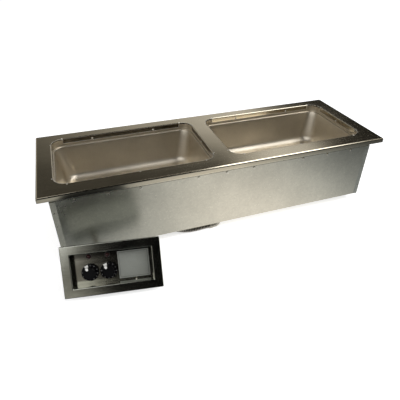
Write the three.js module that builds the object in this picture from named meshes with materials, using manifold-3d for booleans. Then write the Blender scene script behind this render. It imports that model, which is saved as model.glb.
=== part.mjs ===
// Drop-in food well: two drawn pans end to end under one stainless top plate, in an
// insulated galvanised housing, with a control box on a flexible metal conduit.
// Millimetres, +Z up, +X along the plate, the operator stands on the -Y side.
// z = 0 is the counter that the turned-down edge of the top plate rests on,
// and x = 0, y = 0 is the middle of the plate.

import * as THREE from "three";
import { mergeVertices } from "three/addons/utils/BufferGeometryUtils.js";
import Module from "manifold-3d";

// Fits, cuts and facets
const CLEARANCE = 0.3;
const OVERRUN = 2;
const WELD_STEP = 0.0005;
const ROUND_SIDES = 16;
const SMALL_SIDES = 8;
const HEXAGON_SIDES = 6;
const ARC_STEPS = 3;
const CORNER_STEPS = 6;
const WAVE_STEPS = 4;

// Top plate
const PLATE_LENGTH = 1178;
const PLATE_WIDTH = 406;
const PLATE_GAUGE = 1.25;
const EDGE_DROP = 16.5;
const EDGE_RADIUS = 5;
const PLAN_CORNER_RADIUS = 1.5;
const HEM_WIDTH = 12;

// Lands of the plate round its two openings, and the openings' down-turned flanges
const END_LAND = 51.5;
const FRONT_LAND = 57.5;
const BACK_LAND = 43.5;
const LAND_BETWEEN = 59;
const OPENING_RADIUS = 36;
const FLANGE_DROP = 18;
const FLANGE_RADIUS = 3;
const NOTCH_WIDTH = 3;
const NOTCH_DEPTH = 6;

// Well pans
const PAN_GAUGE = 1;
const COLLAR_TOP_DROP = 6;
const SHOULDER_DROP = 28;
const SHOULDER_WIDTH = 3;
const SHOULDER_RADIUS = 2.5;
const PAN_FLOOR_DROP = 148;
const PAN_FLOOR_RADIUS = 26;
const PAN_WALL_LEAN_DEGREES = 10;
const PAN_FOOT_CORNER_RADIUS = 48;

// Housing, set in from the plate's edges, and the rails that hang it under the plate
const HOUSING_END_INSET = 28.5;
const HOUSING_SIDE_INSET = 25;
const HOUSING_DROP = 246;
const HOUSING_GAUGE = 1;
const HOUSING_BEND_RADIUS = 2.5;
const CORNER_STRIP_WIDTH = 17;
const PANEL_FLANGE_WIDTH = 10;
const BOTTOM_FLANGE_HEIGHT = 14;
const SEAM_DROP = 37;
const RAIL_GAUGE = 1.25;
const RAIL_DEPTH = 57;
const RAIL_SHELF = 12;

// Sheet screws along the front seam, in three groups of three
const SCREW_DROP = 42.5;
const SCREW_PITCH = 98;
const SCREW_END_INSET = 77.5;
const SCREW_GROUP_SHIFT = -4;
const SCREW_SHANK_RADIUS = 1.8;
const SCREW_LENGTH = 7;
const SCREW_HEAD_RADIUS = 3.6;
const SCREW_HEAD_HEIGHT = 2.6;
const SCREW_WASHER_RADIUS = 4.8;
const SCREW_WASHER_HEIGHT = 0.8;

// Insulation
const UNDER_AIR_SPACE = 35;
const WIRING_SPACE = 20;
const WIRING_CHANNEL_WIDTH = 62;

// Heating elements and the trays that hold them under the pans
const ELEMENT_RADIUS = 4;
const ELEMENT_LANES = 4;
const ELEMENT_SIDES = 8;
const ELEMENT_END_MARGIN = 18;
const ELEMENT_SIDE_MARGIN = 24.5;
const TRAY_GAUGE = 0.8;
const TRAY_INSET = 46;
const TRAY_CORNER_RADIUS = 14;
const TRAY_RIM_WIDTH = 6;

// Conduit, its elbow under the housing and its connector on the control box
const CONDUIT_RADIUS = 8;
const CONDUIT_ROOT_RADIUS = 6.9;
const CONDUIT_BORE_RADIUS = 5.4;
const CONDUIT_RIBS = 150;
const CONDUIT_SIDES = 8;
const RIBS_PER_BORE_RING = 5;
const FRAMES_PER_RIB = 4;
const ROUTE_DIVISIONS = 2000;
const ELBOW_X = -20;
const ELBOW_INSET = 25;
const ELBOW_REACH = 34;
const ELBOW_DROP = 25;
const ELBOW_BEND_RADIUS = 15;
const FITTING_RADIUS = 9;
const FITTING_BORE_RADIUS = 5.4;
const FITTING_COLLAR_RADIUS = 11;
const FITTING_COLLAR_HEIGHT = 3.5;
const CLAMP_RING_RADIUS = 10.5;
const CLAMP_RING_WIDTH = 11;
const THREAD_RADIUS = 7.6;
const THREAD_LENGTH = 8;
const LOCKNUT_RADIUS = 11.5;
const LOCKNUT_HEIGHT = 3;
const LOCKNUT_TEETH = 6;
const LOCKNUT_SLOT_DEPTH = 0.8;
const BOX_FITTING_LENGTH = 23.4;

// Control panel: bezel, recess, plate and box
const BEZEL_GAUGE = 1.25;
const BEZEL_RETURN = 5;
const BEZEL_EDGE_RADIUS = 2.5;
const BEZEL_END_MARGIN = 26.5;
const BEZEL_SIDE_MARGIN = 26.5;
const RECESS_CORNER_RADIUS = 2;
const RECESS_DEPTH = 36;
const CONTROL_PLATE_FLANGE = 10;
const CONTROL_WIRING_SPACE = 11.45;
const CONTROL_BOX_GAUGE = 1;
const CONTROL_BOX_CORNER_RADIUS = 2.5;
const CONTROL_X = -421;
const CONTROL_Y = -336;
const CONTROL_YAW_DEGREES = -9;
const CONTROL_TILT_DEGREES = 29.2;
const BOX_FITTING_SHIFT = -50;

// Dials, switches and lamps on the control plate, and the spaces between them and the
// recess's walls, which with the label make up the length and height of the recess
const DIAL_END_SPACE = 22.7;
const DIAL_SPACE = 4;
const DIAL_FOOT_SPACE = 10;
const LAMP_FOOT_SPACE = 14.7;
const LAMP_TOP_SPACE = 8.7;
const KNOB_SKIRT_RADIUS = 25;
const KNOB_SKIRT_HEIGHT = 4;
const KNOB_STANDOFF = 4;
const KNOB_GRIP_RADIUS = 18.5;
const KNOB_GRIP_HEIGHT = 15;
const KNOB_GRIP_TAPER = 1.5;
const KNOB_GRIP_FLUTES = 12;
const KNOB_FLUTE_DEPTH = 1.2;
const KNOB_EDGE = 1;
const SHAFT_RADIUS = 3;
const SHAFT_FLAT = 1.9;
const SHAFT_GRIP_DEPTH = 12;
const SHAFT_TAIL = 8;
const BUSHING_RADIUS = 5;
const BUSHING_STANDOUT = 2.5;
const SWITCH_LENGTH = 36;
const SWITCH_HEIGHT = 42;
const SWITCH_DEPTH = 32;
const SWITCH_CHAMFER = 3;
const SWITCH_TAB_WIDTH = 6.3;
const SWITCH_TAB_LENGTH = 8;
const SWITCH_TAB_GAUGE = 0.8;
const LAMP_BODY_RADIUS = 5.5;
const LAMP_BODY_DEPTH = 24;
const LAMP_FLANGE_RADIUS = 8;
const LAMP_FLANGE_HEIGHT = 1.6;
const LENS_RADIUS = 6.8;
const LENS_HEIGHT = 6;

// Bare label plate and terminal block
const LABEL_LENGTH = 92;
const LABEL_GAUGE = 0.8;
const LABEL_DIAL_SPACE = 3.5;
const LABEL_END_SPACE = 9.2;
const LABEL_TOP_SPACE = 11.7;
const LABEL_FOOT_SPACE = 4.7;
const TERMINAL_LENGTH = 62;
const TERMINAL_HEIGHT = 20;
const TERMINAL_DEPTH = 12;
const TERMINAL_POSTS = 4;
const TERMINAL_POST_RADIUS = 3.5;
const TERMINAL_POST_HEIGHT = 4;
const TERMINAL_INSET = 25.2;

// Places worked out from the sizes above
const PLATE_TOP = EDGE_DROP;
const PLATE_UNDERSIDE = PLATE_TOP - PLATE_GAUGE;
const OPENING_LENGTH = (PLATE_LENGTH - LAND_BETWEEN) / 2 - END_LAND;
const OPENING_WIDTH = PLATE_WIDTH - FRONT_LAND - BACK_LAND;
const OPENING_SETBACK = (FRONT_LAND - BACK_LAND) / 2;
const HOUSING_LENGTH = PLATE_LENGTH - 2 * HOUSING_END_INSET;
const HOUSING_WIDTH = PLATE_WIDTH - 2 * HOUSING_SIDE_INSET;
const HOUSING_TOP = PLATE_TOP - SEAM_DROP;
const HOUSING_UNDERSIDE = PLATE_TOP - HOUSING_DROP;
const OPENING_PITCH = OPENING_LENGTH + LAND_BETWEEN;
const WELL_CENTRES = { left: -OPENING_PITCH / 2, right: OPENING_PITCH / 2 };
const STRIP_FACE_Y = HOUSING_WIDTH / 2;
const PANEL_FACE_Y = STRIP_FACE_Y - HOUSING_GAUGE - CLEARANCE;
const PANEL_BACK_Y = PANEL_FACE_Y - HOUSING_GAUGE;
const RAIL_FACE_Y = PANEL_BACK_Y - CLEARANCE;
const END_INNER_X = HOUSING_LENGTH / 2 - HOUSING_GAUGE;
const RAIL_FACE_X = END_INNER_X - CLEARANCE;
const RAIL_TOP = PLATE_UNDERSIDE - CLEARANCE;
const BOTTOM_SHEET_UNDERSIDE = HOUSING_UNDERSIDE + HOUSING_GAUGE + CLEARANCE;
const BOTTOM_SHEET_TOP = BOTTOM_SHEET_UNDERSIDE + HOUSING_GAUGE;
const SCREW_GROUP_PITCH = HOUSING_LENGTH / 2 - SCREW_END_INSET - SCREW_PITCH;
const BATT_TOP = RAIL_TOP - RAIL_DEPTH - CLEARANCE;
const BATT_FOOT = BOTTOM_SHEET_TOP + WIRING_SPACE;
const UNDER_BATT_FOOT = BOTTOM_SHEET_TOP + CLEARANCE;
const PAN_UNDERSIDE = PLATE_TOP - PAN_FLOOR_DROP - PAN_GAUGE;
const ELEMENT_LEVEL = PAN_UNDERSIDE - CLEARANCE - ELEMENT_RADIUS;
const TRAY_LENGTH = OPENING_LENGTH - 2 * TRAY_INSET;
const TRAY_WIDTH = OPENING_WIDTH - 2 * TRAY_INSET;
const TRAY_TOP = PAN_UNDERSIDE - CLEARANCE;
const TRAY_UNDERSIDE = ELEMENT_LEVEL - ELEMENT_RADIUS - CLEARANCE - TRAY_GAUGE;
const UNDER_BATT_TOP = TRAY_UNDERSIDE - UNDER_AIR_SPACE;
const ELEMENT_LENGTH = TRAY_LENGTH - 2 * ELEMENT_END_MARGIN;
const ELEMENT_SPREAD = TRAY_WIDTH - 2 * ELEMENT_SIDE_MARGIN - 2 * ELEMENT_RADIUS;
const ELEMENT_BEND_RADIUS = ELEMENT_SPREAD / (ELEMENT_LANES - 1) / 2;
const ELBOW_Y = ELBOW_INSET - HOUSING_WIDTH / 2;
const ELBOW_LEVEL = HOUSING_UNDERSIDE - ELBOW_DROP;
const GROUND = ELBOW_LEVEL - CLAMP_RING_RADIUS;
const DIAL_PITCH = 2 * KNOB_SKIRT_RADIUS + DIAL_SPACE;
const DIALS_LENGTH = DIAL_END_SPACE + DIAL_PITCH + 2 * KNOB_SKIRT_RADIUS;
const RECESS_LENGTH = DIALS_LENGTH + LABEL_DIAL_SPACE + LABEL_LENGTH + LABEL_END_SPACE;
const DIALS_HEIGHT = DIAL_FOOT_SPACE + 2 * KNOB_SKIRT_RADIUS;
const RECESS_HEIGHT = DIALS_HEIGHT + LAMP_FOOT_SPACE + 2 * LAMP_FLANGE_RADIUS + LAMP_TOP_SPACE;
const BEZEL_LENGTH = RECESS_LENGTH + 2 * BEZEL_END_MARGIN;
const BEZEL_HEIGHT = RECESS_HEIGHT + 2 * BEZEL_SIDE_MARGIN;
const CONTROL_PLATE_BACK = -RECESS_DEPTH - BEZEL_GAUGE;
const RECESS_WALL_END = CONTROL_PLATE_BACK - CONTROL_PLATE_FLANGE;
const BOX_INNER_LENGTH = RECESS_LENGTH + 2 * BEZEL_EDGE_RADIUS;
const BOX_INNER_HEIGHT = RECESS_HEIGHT + 2 * BEZEL_EDGE_RADIUS;
const BOX_OUTER_HEIGHT = BOX_INNER_HEIGHT + 2 * CONTROL_BOX_GAUGE;
const SWITCH_FACE = CONTROL_PLATE_BACK - CLEARANCE;
const SWITCH_BACK = SWITCH_FACE - SWITCH_DEPTH;
const BOX_FLOOR = SWITCH_BACK - SWITCH_TAB_LENGTH - CONTROL_WIRING_SPACE;
const BOX_UNDERSIDE = BOX_FLOOR - CONTROL_BOX_GAUGE;
const FIRST_DIAL = DIAL_END_SPACE + KNOB_SKIRT_RADIUS - RECESS_LENGTH / 2;
const DIAL_LEVEL = DIAL_FOOT_SPACE + KNOB_SKIRT_RADIUS - RECESS_HEIGHT / 2;
const LAMP_LEVEL = RECESS_HEIGHT / 2 - LAMP_TOP_SPACE - LAMP_FLANGE_RADIUS;
const LABEL_MIDDLE = (RECESS_LENGTH - LABEL_LENGTH) / 2 - LABEL_END_SPACE;
const LABEL_HEIGHT = RECESS_HEIGHT - LABEL_TOP_SPACE - LABEL_FOOT_SPACE;
const LABEL_LEVEL = (LABEL_FOOT_SPACE - LABEL_TOP_SPACE) / 2;
const TERMINAL_MIDDLE = (BOX_INNER_LENGTH - TERMINAL_LENGTH) / 2 - TERMINAL_INSET;
const KNOB_BACK = -RECESS_DEPTH + KNOB_STANDOFF;
const KNOB_SKIRT_TOP = KNOB_BACK + KNOB_SKIRT_HEIGHT;
const KNOB_TOP = KNOB_SKIRT_TOP + KNOB_GRIP_HEIGHT;

// Route of the free conduit, from the connector on the control box back under the
// housing, round in one wide turn and forward again to the elbow
const CONDUIT_ROUTE = [
  [-454.8, -229.9, -230.3], [-452.6, -216.1, -238.1], [-449.5, -197.2, -246.2], [-446.3, -167.3, -252.3],
  [-439.4, -128.4, -251.9], [-432, -96.1, -253.5], [-425.4, -52.1, -255.5], [-423.3, -5.8, -257],
  [-422.5, 33, -257], [-413.6, 67.4, -257], [-389.4, 105.7, -257], [-352.9, 133.3, -257],
  [-308.5, 143.9, -257], [-266.4, 133.7, -257], [-238.3, 110.1, -257], [-221.2, 72.8, -257],
  [-218.7, 24.4, -257], [-224.4, -15.3, -257], [-223.5, -53.7, -257], [-206.5, -99.4, -256.5],
  [-183.3, -129, -255.5], [-145.1, -150.2, -254.8], [-113.6, -155.2, -254.5], [-70.3, -153, -254.5],
  [-54.3, -153, -254.5],
];

const wasm = await Module();
wasm.setup();

// Turns a closed geometry into a solid that can be joined and cut.
function solidOf(geometry) {
  geometry.deleteAttribute("normal");
  geometry.deleteAttribute("uv");
  const merged = mergeVertices(geometry, WELD_STEP);
  const mesh = new wasm.Mesh({
    numProp: 3,
    vertProperties: new Float32Array(merged.attributes.position.array),
    triVerts: new Uint32Array(merged.index.array),
  });
  return new wasm.Manifold(mesh);
}

// Gives the solid back as a named mesh with its own material.
function meshOf(name, solid, finish) {
  const data = solid.getMesh();
  const geometry = new THREE.BufferGeometry();
  geometry.setAttribute("position", new THREE.BufferAttribute(new Float32Array(data.vertProperties), 3));
  geometry.setIndex(new THREE.BufferAttribute(new Uint32Array(data.triVerts), 1));
  geometry.computeVertexNormals();
  const mesh = new THREE.Mesh(geometry, new THREE.MeshStandardMaterial(finish));
  mesh.name = name;
  return mesh;
}

function joined(solids) {
  return solids.reduce((whole, solid) => whole.add(solid));
}

function block(low, high) {
  const size = high.map((value, axis) => value - low[axis]);
  const box = new THREE.BoxGeometry(...size);
  box.translate(...low.map((value, axis) => value + size[axis] / 2));
  return solidOf(box);
}

// A block that is centred on x and y, between two heights.
function centredBlock(length, width, low, high, x = 0, y = 0) {
  return block([x - length / 2, y - width / 2, low], [x + length / 2, y + width / 2, high]);
}

function roundedRectangle(length, width, radius, x = 0, y = 0) {
  const shape = new THREE.Shape();
  const a = length / 2 - radius;
  const b = width / 2 - radius;
  shape.absarc(x + a, y - b, radius, -Math.PI / 2, 0);
  shape.absarc(x + a, y + b, radius, 0, Math.PI / 2);
  shape.absarc(x - a, y + b, radius, Math.PI / 2, Math.PI);
  shape.absarc(x - a, y - b, radius, Math.PI, (3 * Math.PI) / 2);
  shape.closePath();
  return shape;
}

function prism(shape, low, high, curveSegments = CORNER_STEPS) {
  const settings = { depth: high - low, bevelEnabled: false, curveSegments };
  const geometry = new THREE.ExtrudeGeometry(shape, settings);
  geometry.translate(0, 0, low);
  return solidOf(geometry);
}

// An upright cylinder between two heights.
function post(radius, low, high, x = 0, y = 0, sides = SMALL_SIDES) {
  const geometry = new THREE.CylinderGeometry(radius, radius, high - low, sides);
  geometry.rotateX(Math.PI / 2);
  geometry.translate(x, y, (low + high) / 2);
  return solidOf(geometry);
}

// A cylinder along Y, from one y to a greater one.
function crossPost(radius, low, high, x, z, sides = SMALL_SIDES) {
  const geometry = new THREE.CylinderGeometry(radius, radius, high - low, sides);
  geometry.translate(x, (low + high) / 2, z);
  return solidOf(geometry);
}

// A profile of (outward distance, height) pairs run along one side of the object.
// Outward is the side's outward direction, and place is the middle of the run.
function runAlong(profile, length, outward, place) {
  const geometry = new THREE.ExtrudeGeometry(profile, {
    depth: length, bevelEnabled: false, curveSegments: ARC_STEPS,
  });
  geometry.translate(0, 0, -length / 2);
  const up = new THREE.Vector3(0, 0, 1);
  const along = new THREE.Vector3().crossVectors(outward, up);
  geometry.applyMatrix4(new THREE.Matrix4().makeBasis(outward, up, along).setPosition(place));
  return solidOf(geometry);
}

function polygon(points) {
  const shape = new THREE.Shape();
  points.forEach(([x, y], index) => (index === 0 ? shape.moveTo(x, y) : shape.lineTo(x, y)));
  shape.closePath();
  return shape;
}

// The points of one rounded rectangle, counterclockwise.
function ringPoints(ring, steps) {
  const points = [];
  const a = ring.length / 2 - ring.radius;
  const b = ring.width / 2 - ring.radius;
  const corners = [[a, -b], [a, b], [-a, b], [-a, -b]];
  corners.forEach(([x, y], corner) => {
    for (let step = 0; step <= steps; step += 1) {
      const angle = (Math.PI / 2) * (corner - 1 + step / steps);
      points.push([x + ring.radius * Math.cos(angle), y + ring.radius * Math.sin(angle), ring.z]);
    }
  });
  return points;
}

// Skins a list of point loops. An open list is capped at both ends, and a looped list
// joins its last loop to its first.
function skin(loops, looped) {
  const count = loops[0].length;
  const positions = loops.flat(2);
  const faces = [];
  const spans = looped ? loops.length : loops.length - 1;
  for (let span = 0; span < spans; span += 1) {
    const here = span * count;
    const next = ((span + 1) % loops.length) * count;
    for (let point = 0; point < count; point += 1) {
      const after = (point + 1) % count;
      faces.push(here + point, here + after, next + after, here + point, next + after, next + point);
    }
  }
  if (!looped) {
    addCap(positions, faces, loops[0], 0, false);
    addCap(positions, faces, loops.at(-1), (loops.length - 1) * count, true);
  }
  const geometry = new THREE.BufferGeometry();
  geometry.setAttribute("position", new THREE.Float32BufferAttribute(positions, 3));
  geometry.setIndex(faces);
  return geometry;
}

// Closes one loop with a fan round its middle.
function addCap(positions, faces, loop, start, facesForward) {
  const hub = positions.length / 3;
  const middle = [0, 1, 2].map((axis) => loop.reduce((sum, point) => sum + point[axis], 0) / loop.length);
  positions.push(...middle);
  for (let point = 0; point < loop.length; point += 1) {
    const after = (point + 1) % loop.length;
    const pair = facesForward ? [point, after] : [after, point];
    faces.push(hub, start + pair[0], start + pair[1]);
  }
}

function loft(rings, looped = false, steps = CORNER_STEPS) {
  return skin(rings.map((ring) => ringPoints(ring, steps)), looped);
}

// Circle round a station of a sweep: its place, its forward and up directions and its
// radius.
function circlePoints(station, sides) {
  const across = new THREE.Vector3().crossVectors(station.up, station.forward);
  const points = [];
  for (let side = 0; side < sides; side += 1) {
    const angle = (2 * Math.PI * side) / sides;
    const point = station.place.clone();
    point.addScaledVector(across, station.radius * Math.cos(angle));
    point.addScaledVector(station.up, station.radius * Math.sin(angle));
    points.push(point.toArray());
  }
  return points;
}

function sweep(stations, sides, looped = false) {
  return skin(stations.map((station) => circlePoints(station, sides)), looped);
}

function rectangleRing(length, width, inset, z, radius) {
  return { length: length - 2 * inset, width: width - 2 * inset, z, radius };
}

// A slab with its upper edges rolled over, as a sheet bends down at its sides.
function rolledSlab(inset, low, high, bendRadius) {
  const cornerRadius = PLAN_CORNER_RADIUS;
  const rings = [rectangleRing(PLATE_LENGTH, PLATE_WIDTH, inset, low, cornerRadius)];
  for (let step = 0; step <= ARC_STEPS; step += 1) {
    const angle = (Math.PI / 2) * (step / ARC_STEPS);
    const inward = bendRadius * (1 - Math.cos(angle));
    const z = high - bendRadius * (1 - Math.sin(angle));
    rings.push(rectangleRing(PLATE_LENGTH, PLATE_WIDTH, inset + inward, z, cornerRadius));
  }
  return solidOf(loft(rings, false, ARC_STEPS));
}

// Section of an opening's flange: down along the opening, round the bend, and back
// into the sheet. Distances run outwards from the opening's edge.
function flangeSection() {
  const leaf = NOTCH_DEPTH + OVERRUN;
  const section = new THREE.Shape();
  section.moveTo(0, -FLANGE_DROP);
  section.lineTo(PLATE_GAUGE, -FLANGE_DROP);
  section.lineTo(PLATE_GAUGE, -FLANGE_RADIUS);
  section.absarc(FLANGE_RADIUS, -FLANGE_RADIUS, FLANGE_RADIUS - PLATE_GAUGE, Math.PI, Math.PI / 2, true);
  section.lineTo(leaf, -PLATE_GAUGE);
  section.lineTo(leaf, 0);
  section.lineTo(FLANGE_RADIUS, 0);
  section.absarc(FLANGE_RADIUS, -FLANGE_RADIUS, FLANGE_RADIUS, Math.PI / 2, Math.PI, false);
  section.closePath();
  return section;
}

// The straight sides of one opening: middle of the edge, outward direction, length of
// the straight part, and how many flanges share it.
function openingSides(centreX) {
  const longRun = OPENING_LENGTH - 2 * OPENING_RADIUS;
  const shortRun = OPENING_WIDTH - 2 * OPENING_RADIUS;
  return [
    { x: centreX, y: OPENING_SETBACK - OPENING_WIDTH / 2, outward: [0, -1], run: longRun, flanges: 2 },
    { x: centreX, y: OPENING_SETBACK + OPENING_WIDTH / 2, outward: [0, 1], run: longRun, flanges: 1 },
    { x: centreX - OPENING_LENGTH / 2, y: OPENING_SETBACK, outward: [-1, 0], run: shortRun, flanges: 1 },
    { x: centreX + OPENING_LENGTH / 2, y: OPENING_SETBACK, outward: [1, 0], run: shortRun, flanges: 1 },
  ];
}

// Cuts the relief strip behind one side of an opening and sets its flanges into it.
function withFlanges(plate, side) {
  const outward = new THREE.Vector3(side.outward[0], side.outward[1], 0);
  const along = new THREE.Vector3(0, 0, 1).cross(outward);
  const strip = polygon([
    [-OVERRUN, -PLATE_GAUGE - OVERRUN], [NOTCH_DEPTH, -PLATE_GAUGE - OVERRUN],
    [NOTCH_DEPTH, OVERRUN], [-OVERRUN, OVERRUN],
  ]);
  const middle = new THREE.Vector3(side.x, side.y, PLATE_TOP);
  const cut = plate.subtract(runAlong(strip, side.run, outward, middle));
  const flangeLength = (side.run - (side.flanges + 1) * NOTCH_WIDTH) / side.flanges;
  const solids = [cut];
  for (let index = 0; index < side.flanges; index += 1) {
    const shift = (index - (side.flanges - 1) / 2) * (flangeLength + NOTCH_WIDTH);
    const place = middle.clone().addScaledVector(along, shift);
    solids.push(runAlong(flangeSection(), flangeLength, outward, place));
  }
  return joined(solids);
}

function topPlate() {
  const sheet = rolledSlab(0, 0, PLATE_TOP, EDGE_RADIUS);
  const hollow = rolledSlab(PLATE_GAUGE, PLATE_GAUGE, PLATE_UNDERSIDE, EDGE_RADIUS - PLATE_GAUGE);
  const mouth = centredBlock(
    PLATE_LENGTH - 2 * HEM_WIDTH, PLATE_WIDTH - 2 * HEM_WIDTH, -OVERRUN, PLATE_GAUGE + OVERRUN,
  );
  let plate = sheet.subtract(hollow).subtract(mouth);
  for (const centreX of Object.values(WELL_CENTRES)) {
    const outline = roundedRectangle(OPENING_LENGTH, OPENING_WIDTH, OPENING_RADIUS, centreX, OPENING_SETBACK);
    plate = plate.subtract(prism(outline, PLATE_UNDERSIDE - OVERRUN, PLATE_TOP + OVERRUN));
    for (const side of openingSides(centreX)) {
      plate = withFlanges(plate, side);
    }
  }
  return plate;
}

// The leaning wall of the well pan: where the bends above and below it have their
// middles, and where its inner face starts. Insets run in from the opening's edge.
function panWall() {
  const lean = THREE.MathUtils.degToRad(PAN_WALL_LEAN_DEGREES);
  const ledgeEnd = SHOULDER_WIDTH - PLATE_GAUGE - CLEARANCE;
  const bendMiddle = PLATE_TOP - SHOULDER_DROP - SHOULDER_RADIUS;
  const footMiddle = PLATE_TOP - PAN_FLOOR_DROP + PAN_FLOOR_RADIUS;
  const top = bendMiddle + SHOULDER_RADIUS * Math.sin(lean);
  const foot = footMiddle - PAN_FLOOR_RADIUS * Math.sin(lean);
  const inset = ledgeEnd + SHOULDER_RADIUS * Math.cos(lean);
  const footInset = inset + (top - foot) * Math.tan(lean) + PAN_FLOOR_RADIUS * Math.cos(lean);
  return { lean, ledgeEnd, bendMiddle, footMiddle, top, inset, footInset };
}

// How far inside the opening's edge the wall's outer face stands at a height.
function panWallInset(z) {
  const wall = panWall();
  return wall.inset + (wall.top - z) * Math.tan(wall.lean) - PAN_GAUGE / Math.cos(wall.lean);
}

// Inner face of the well pan from the collar down to the floor, or its outer face when
// it is given the pan's gauge.
function panFace(gauge) {
  const { lean, ledgeEnd, bendMiddle, footMiddle, footInset } = panWall();
  const collar = -PLATE_GAUGE - CLEARANCE - gauge;
  const shoulder = PLATE_TOP - SHOULDER_DROP - gauge;
  const shoulderRadius = SHOULDER_RADIUS - gauge;
  const footRadius = PAN_FLOOR_RADIUS + gauge;
  const face = [[collar, PLATE_TOP - COLLAR_TOP_DROP], [collar, shoulder], [ledgeEnd, shoulder]];
  for (let step = 1; step <= ARC_STEPS; step += 1) {
    const angle = (Math.PI / 2 - lean) * (step / ARC_STEPS);
    face.push([ledgeEnd + shoulderRadius * Math.sin(angle), bendMiddle + shoulderRadius * Math.cos(angle)]);
  }
  for (let step = 0; step <= CORNER_STEPS; step += 1) {
    const angle = lean + (Math.PI / 2 - lean) * (step / CORNER_STEPS);
    face.push([footInset - footRadius * Math.cos(angle), footMiddle - footRadius * Math.sin(angle)]);
  }
  return face;
}

// Corner radius of the pan at an inset: the opening's at the shoulder, widening to the
// foot of the wall, then shrinking with the floor bend.
function panCornerRadius(inset, footStart) {
  if (inset <= 0) {
    return OPENING_RADIUS - inset;
  }
  if (inset <= footStart) {
    return THREE.MathUtils.lerp(OPENING_RADIUS, PAN_FOOT_CORNER_RADIUS, inset / footStart);
  }
  return PAN_FOOT_CORNER_RADIUS - (inset - footStart);
}

function wellPan(centreX) {
  const inner = panFace(0);
  const outer = panFace(PAN_GAUGE);
  const footStart = inner[inner.length - CORNER_STEPS - 1][0];
  const profile = [...outer.reverse(), ...inner];
  const rings = profile.map(([inset, z]) => (
    rectangleRing(OPENING_LENGTH, OPENING_WIDTH, inset, z, panCornerRadius(inset, footStart))
  ));
  const geometry = loft(rings);
  geometry.translate(centreX, OPENING_SETBACK, 0);
  return solidOf(geometry);
}

// Angle rail under the plate: a leg behind the panel, and a shelf against the plate that
// may be shorter than the leg.
function rail(legLength, shelfLength, outward, place) {
  const leg = polygon([[0, 0], [-RAIL_GAUGE, 0], [-RAIL_GAUGE, -RAIL_DEPTH], [0, -RAIL_DEPTH]]);
  const shelf = polygon([[0, 0], [-RAIL_SHELF, 0], [-RAIL_SHELF, -RAIL_GAUGE], [0, -RAIL_GAUGE]]);
  return runAlong(leg, legLength, outward, place).add(runAlong(shelf, shelfLength, outward, place));
}

// Front and back rails run between the legs of the end rails.
function longRail(side) {
  const length = 2 * (RAIL_FACE_X - RAIL_GAUGE - CLEARANCE);
  const place = new THREE.Vector3(0, side * RAIL_FACE_Y, RAIL_TOP);
  return rail(length, length, new THREE.Vector3(0, side, 0), place);
}

function endRail(side) {
  const shelfLength = 2 * (RAIL_FACE_Y - RAIL_SHELF - CLEARANCE);
  const place = new THREE.Vector3(side * RAIL_FACE_X, 0, RAIL_TOP);
  return rail(2 * RAIL_FACE_Y, shelfLength, new THREE.Vector3(side, 0, 0), place);
}

function screwPlaces() {
  const places = [];
  for (const group of [-1, 0, 1]) {
    for (const step of [-1, 0, 1]) {
      places.push(group * SCREW_GROUP_PITCH + step * SCREW_PITCH + SCREW_GROUP_SHIFT);
    }
  }
  return places;
}

function withScrewHoles(sheet) {
  const radius = SCREW_SHANK_RADIUS + CLEARANCE;
  const z = PLATE_TOP - SCREW_DROP;
  const end = RAIL_GAUGE + OVERRUN - RAIL_FACE_Y;
  const holes = screwPlaces().map((x) => crossPost(radius, -STRIP_FACE_Y, end, x, z));
  return sheet.subtract(joined(holes));
}

// Front or back panel with its bottom flange turned in under the housing.
function longPanel(side) {
  const height = HOUSING_TOP - HOUSING_UNDERSIDE;
  const section = polygon([
    [0, 0], [-HOUSING_GAUGE, 0], [-HOUSING_GAUGE, HOUSING_GAUGE - height],
    [-PANEL_FLANGE_WIDTH, HOUSING_GAUGE - height], [-PANEL_FLANGE_WIDTH, -height], [0, -height],
  ]);
  const length = HOUSING_LENGTH - 2 * HOUSING_BEND_RADIUS;
  const place = new THREE.Vector3(0, side * PANEL_FACE_Y, HOUSING_TOP);
  return runAlong(section, length, new THREE.Vector3(0, side, 0), place);
}

// End panel: a channel in plan, whose sides wrap round onto the front and the back.
function endPanel(side) {
  const outline = new THREE.Shape();
  const x = HOUSING_LENGTH / 2;
  const y = HOUSING_WIDTH / 2;
  const bend = HOUSING_BEND_RADIUS;
  const innerBend = bend - HOUSING_GAUGE;
  outline.moveTo(x - CORNER_STRIP_WIDTH, -y);
  outline.absarc(x - bend, bend - y, bend, -Math.PI / 2, 0);
  outline.absarc(x - bend, y - bend, bend, 0, Math.PI / 2);
  outline.lineTo(x - CORNER_STRIP_WIDTH, y);
  outline.lineTo(x - CORNER_STRIP_WIDTH, y - HOUSING_GAUGE);
  outline.absarc(x - bend, y - bend, innerBend, Math.PI / 2, 0, true);
  outline.absarc(x - bend, bend - y, innerBend, 0, -Math.PI / 2, true);
  outline.lineTo(x - CORNER_STRIP_WIDTH, HOUSING_GAUGE - y);
  outline.closePath();
  const geometry = new THREE.ExtrudeGeometry(outline, {
    depth: HOUSING_TOP - HOUSING_UNDERSIDE, bevelEnabled: false, curveSegments: ARC_STEPS,
  });
  geometry.translate(0, 0, HOUSING_UNDERSIDE);
  geometry.rotateZ(side > 0 ? 0 : Math.PI);
  return solidOf(geometry);
}

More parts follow.
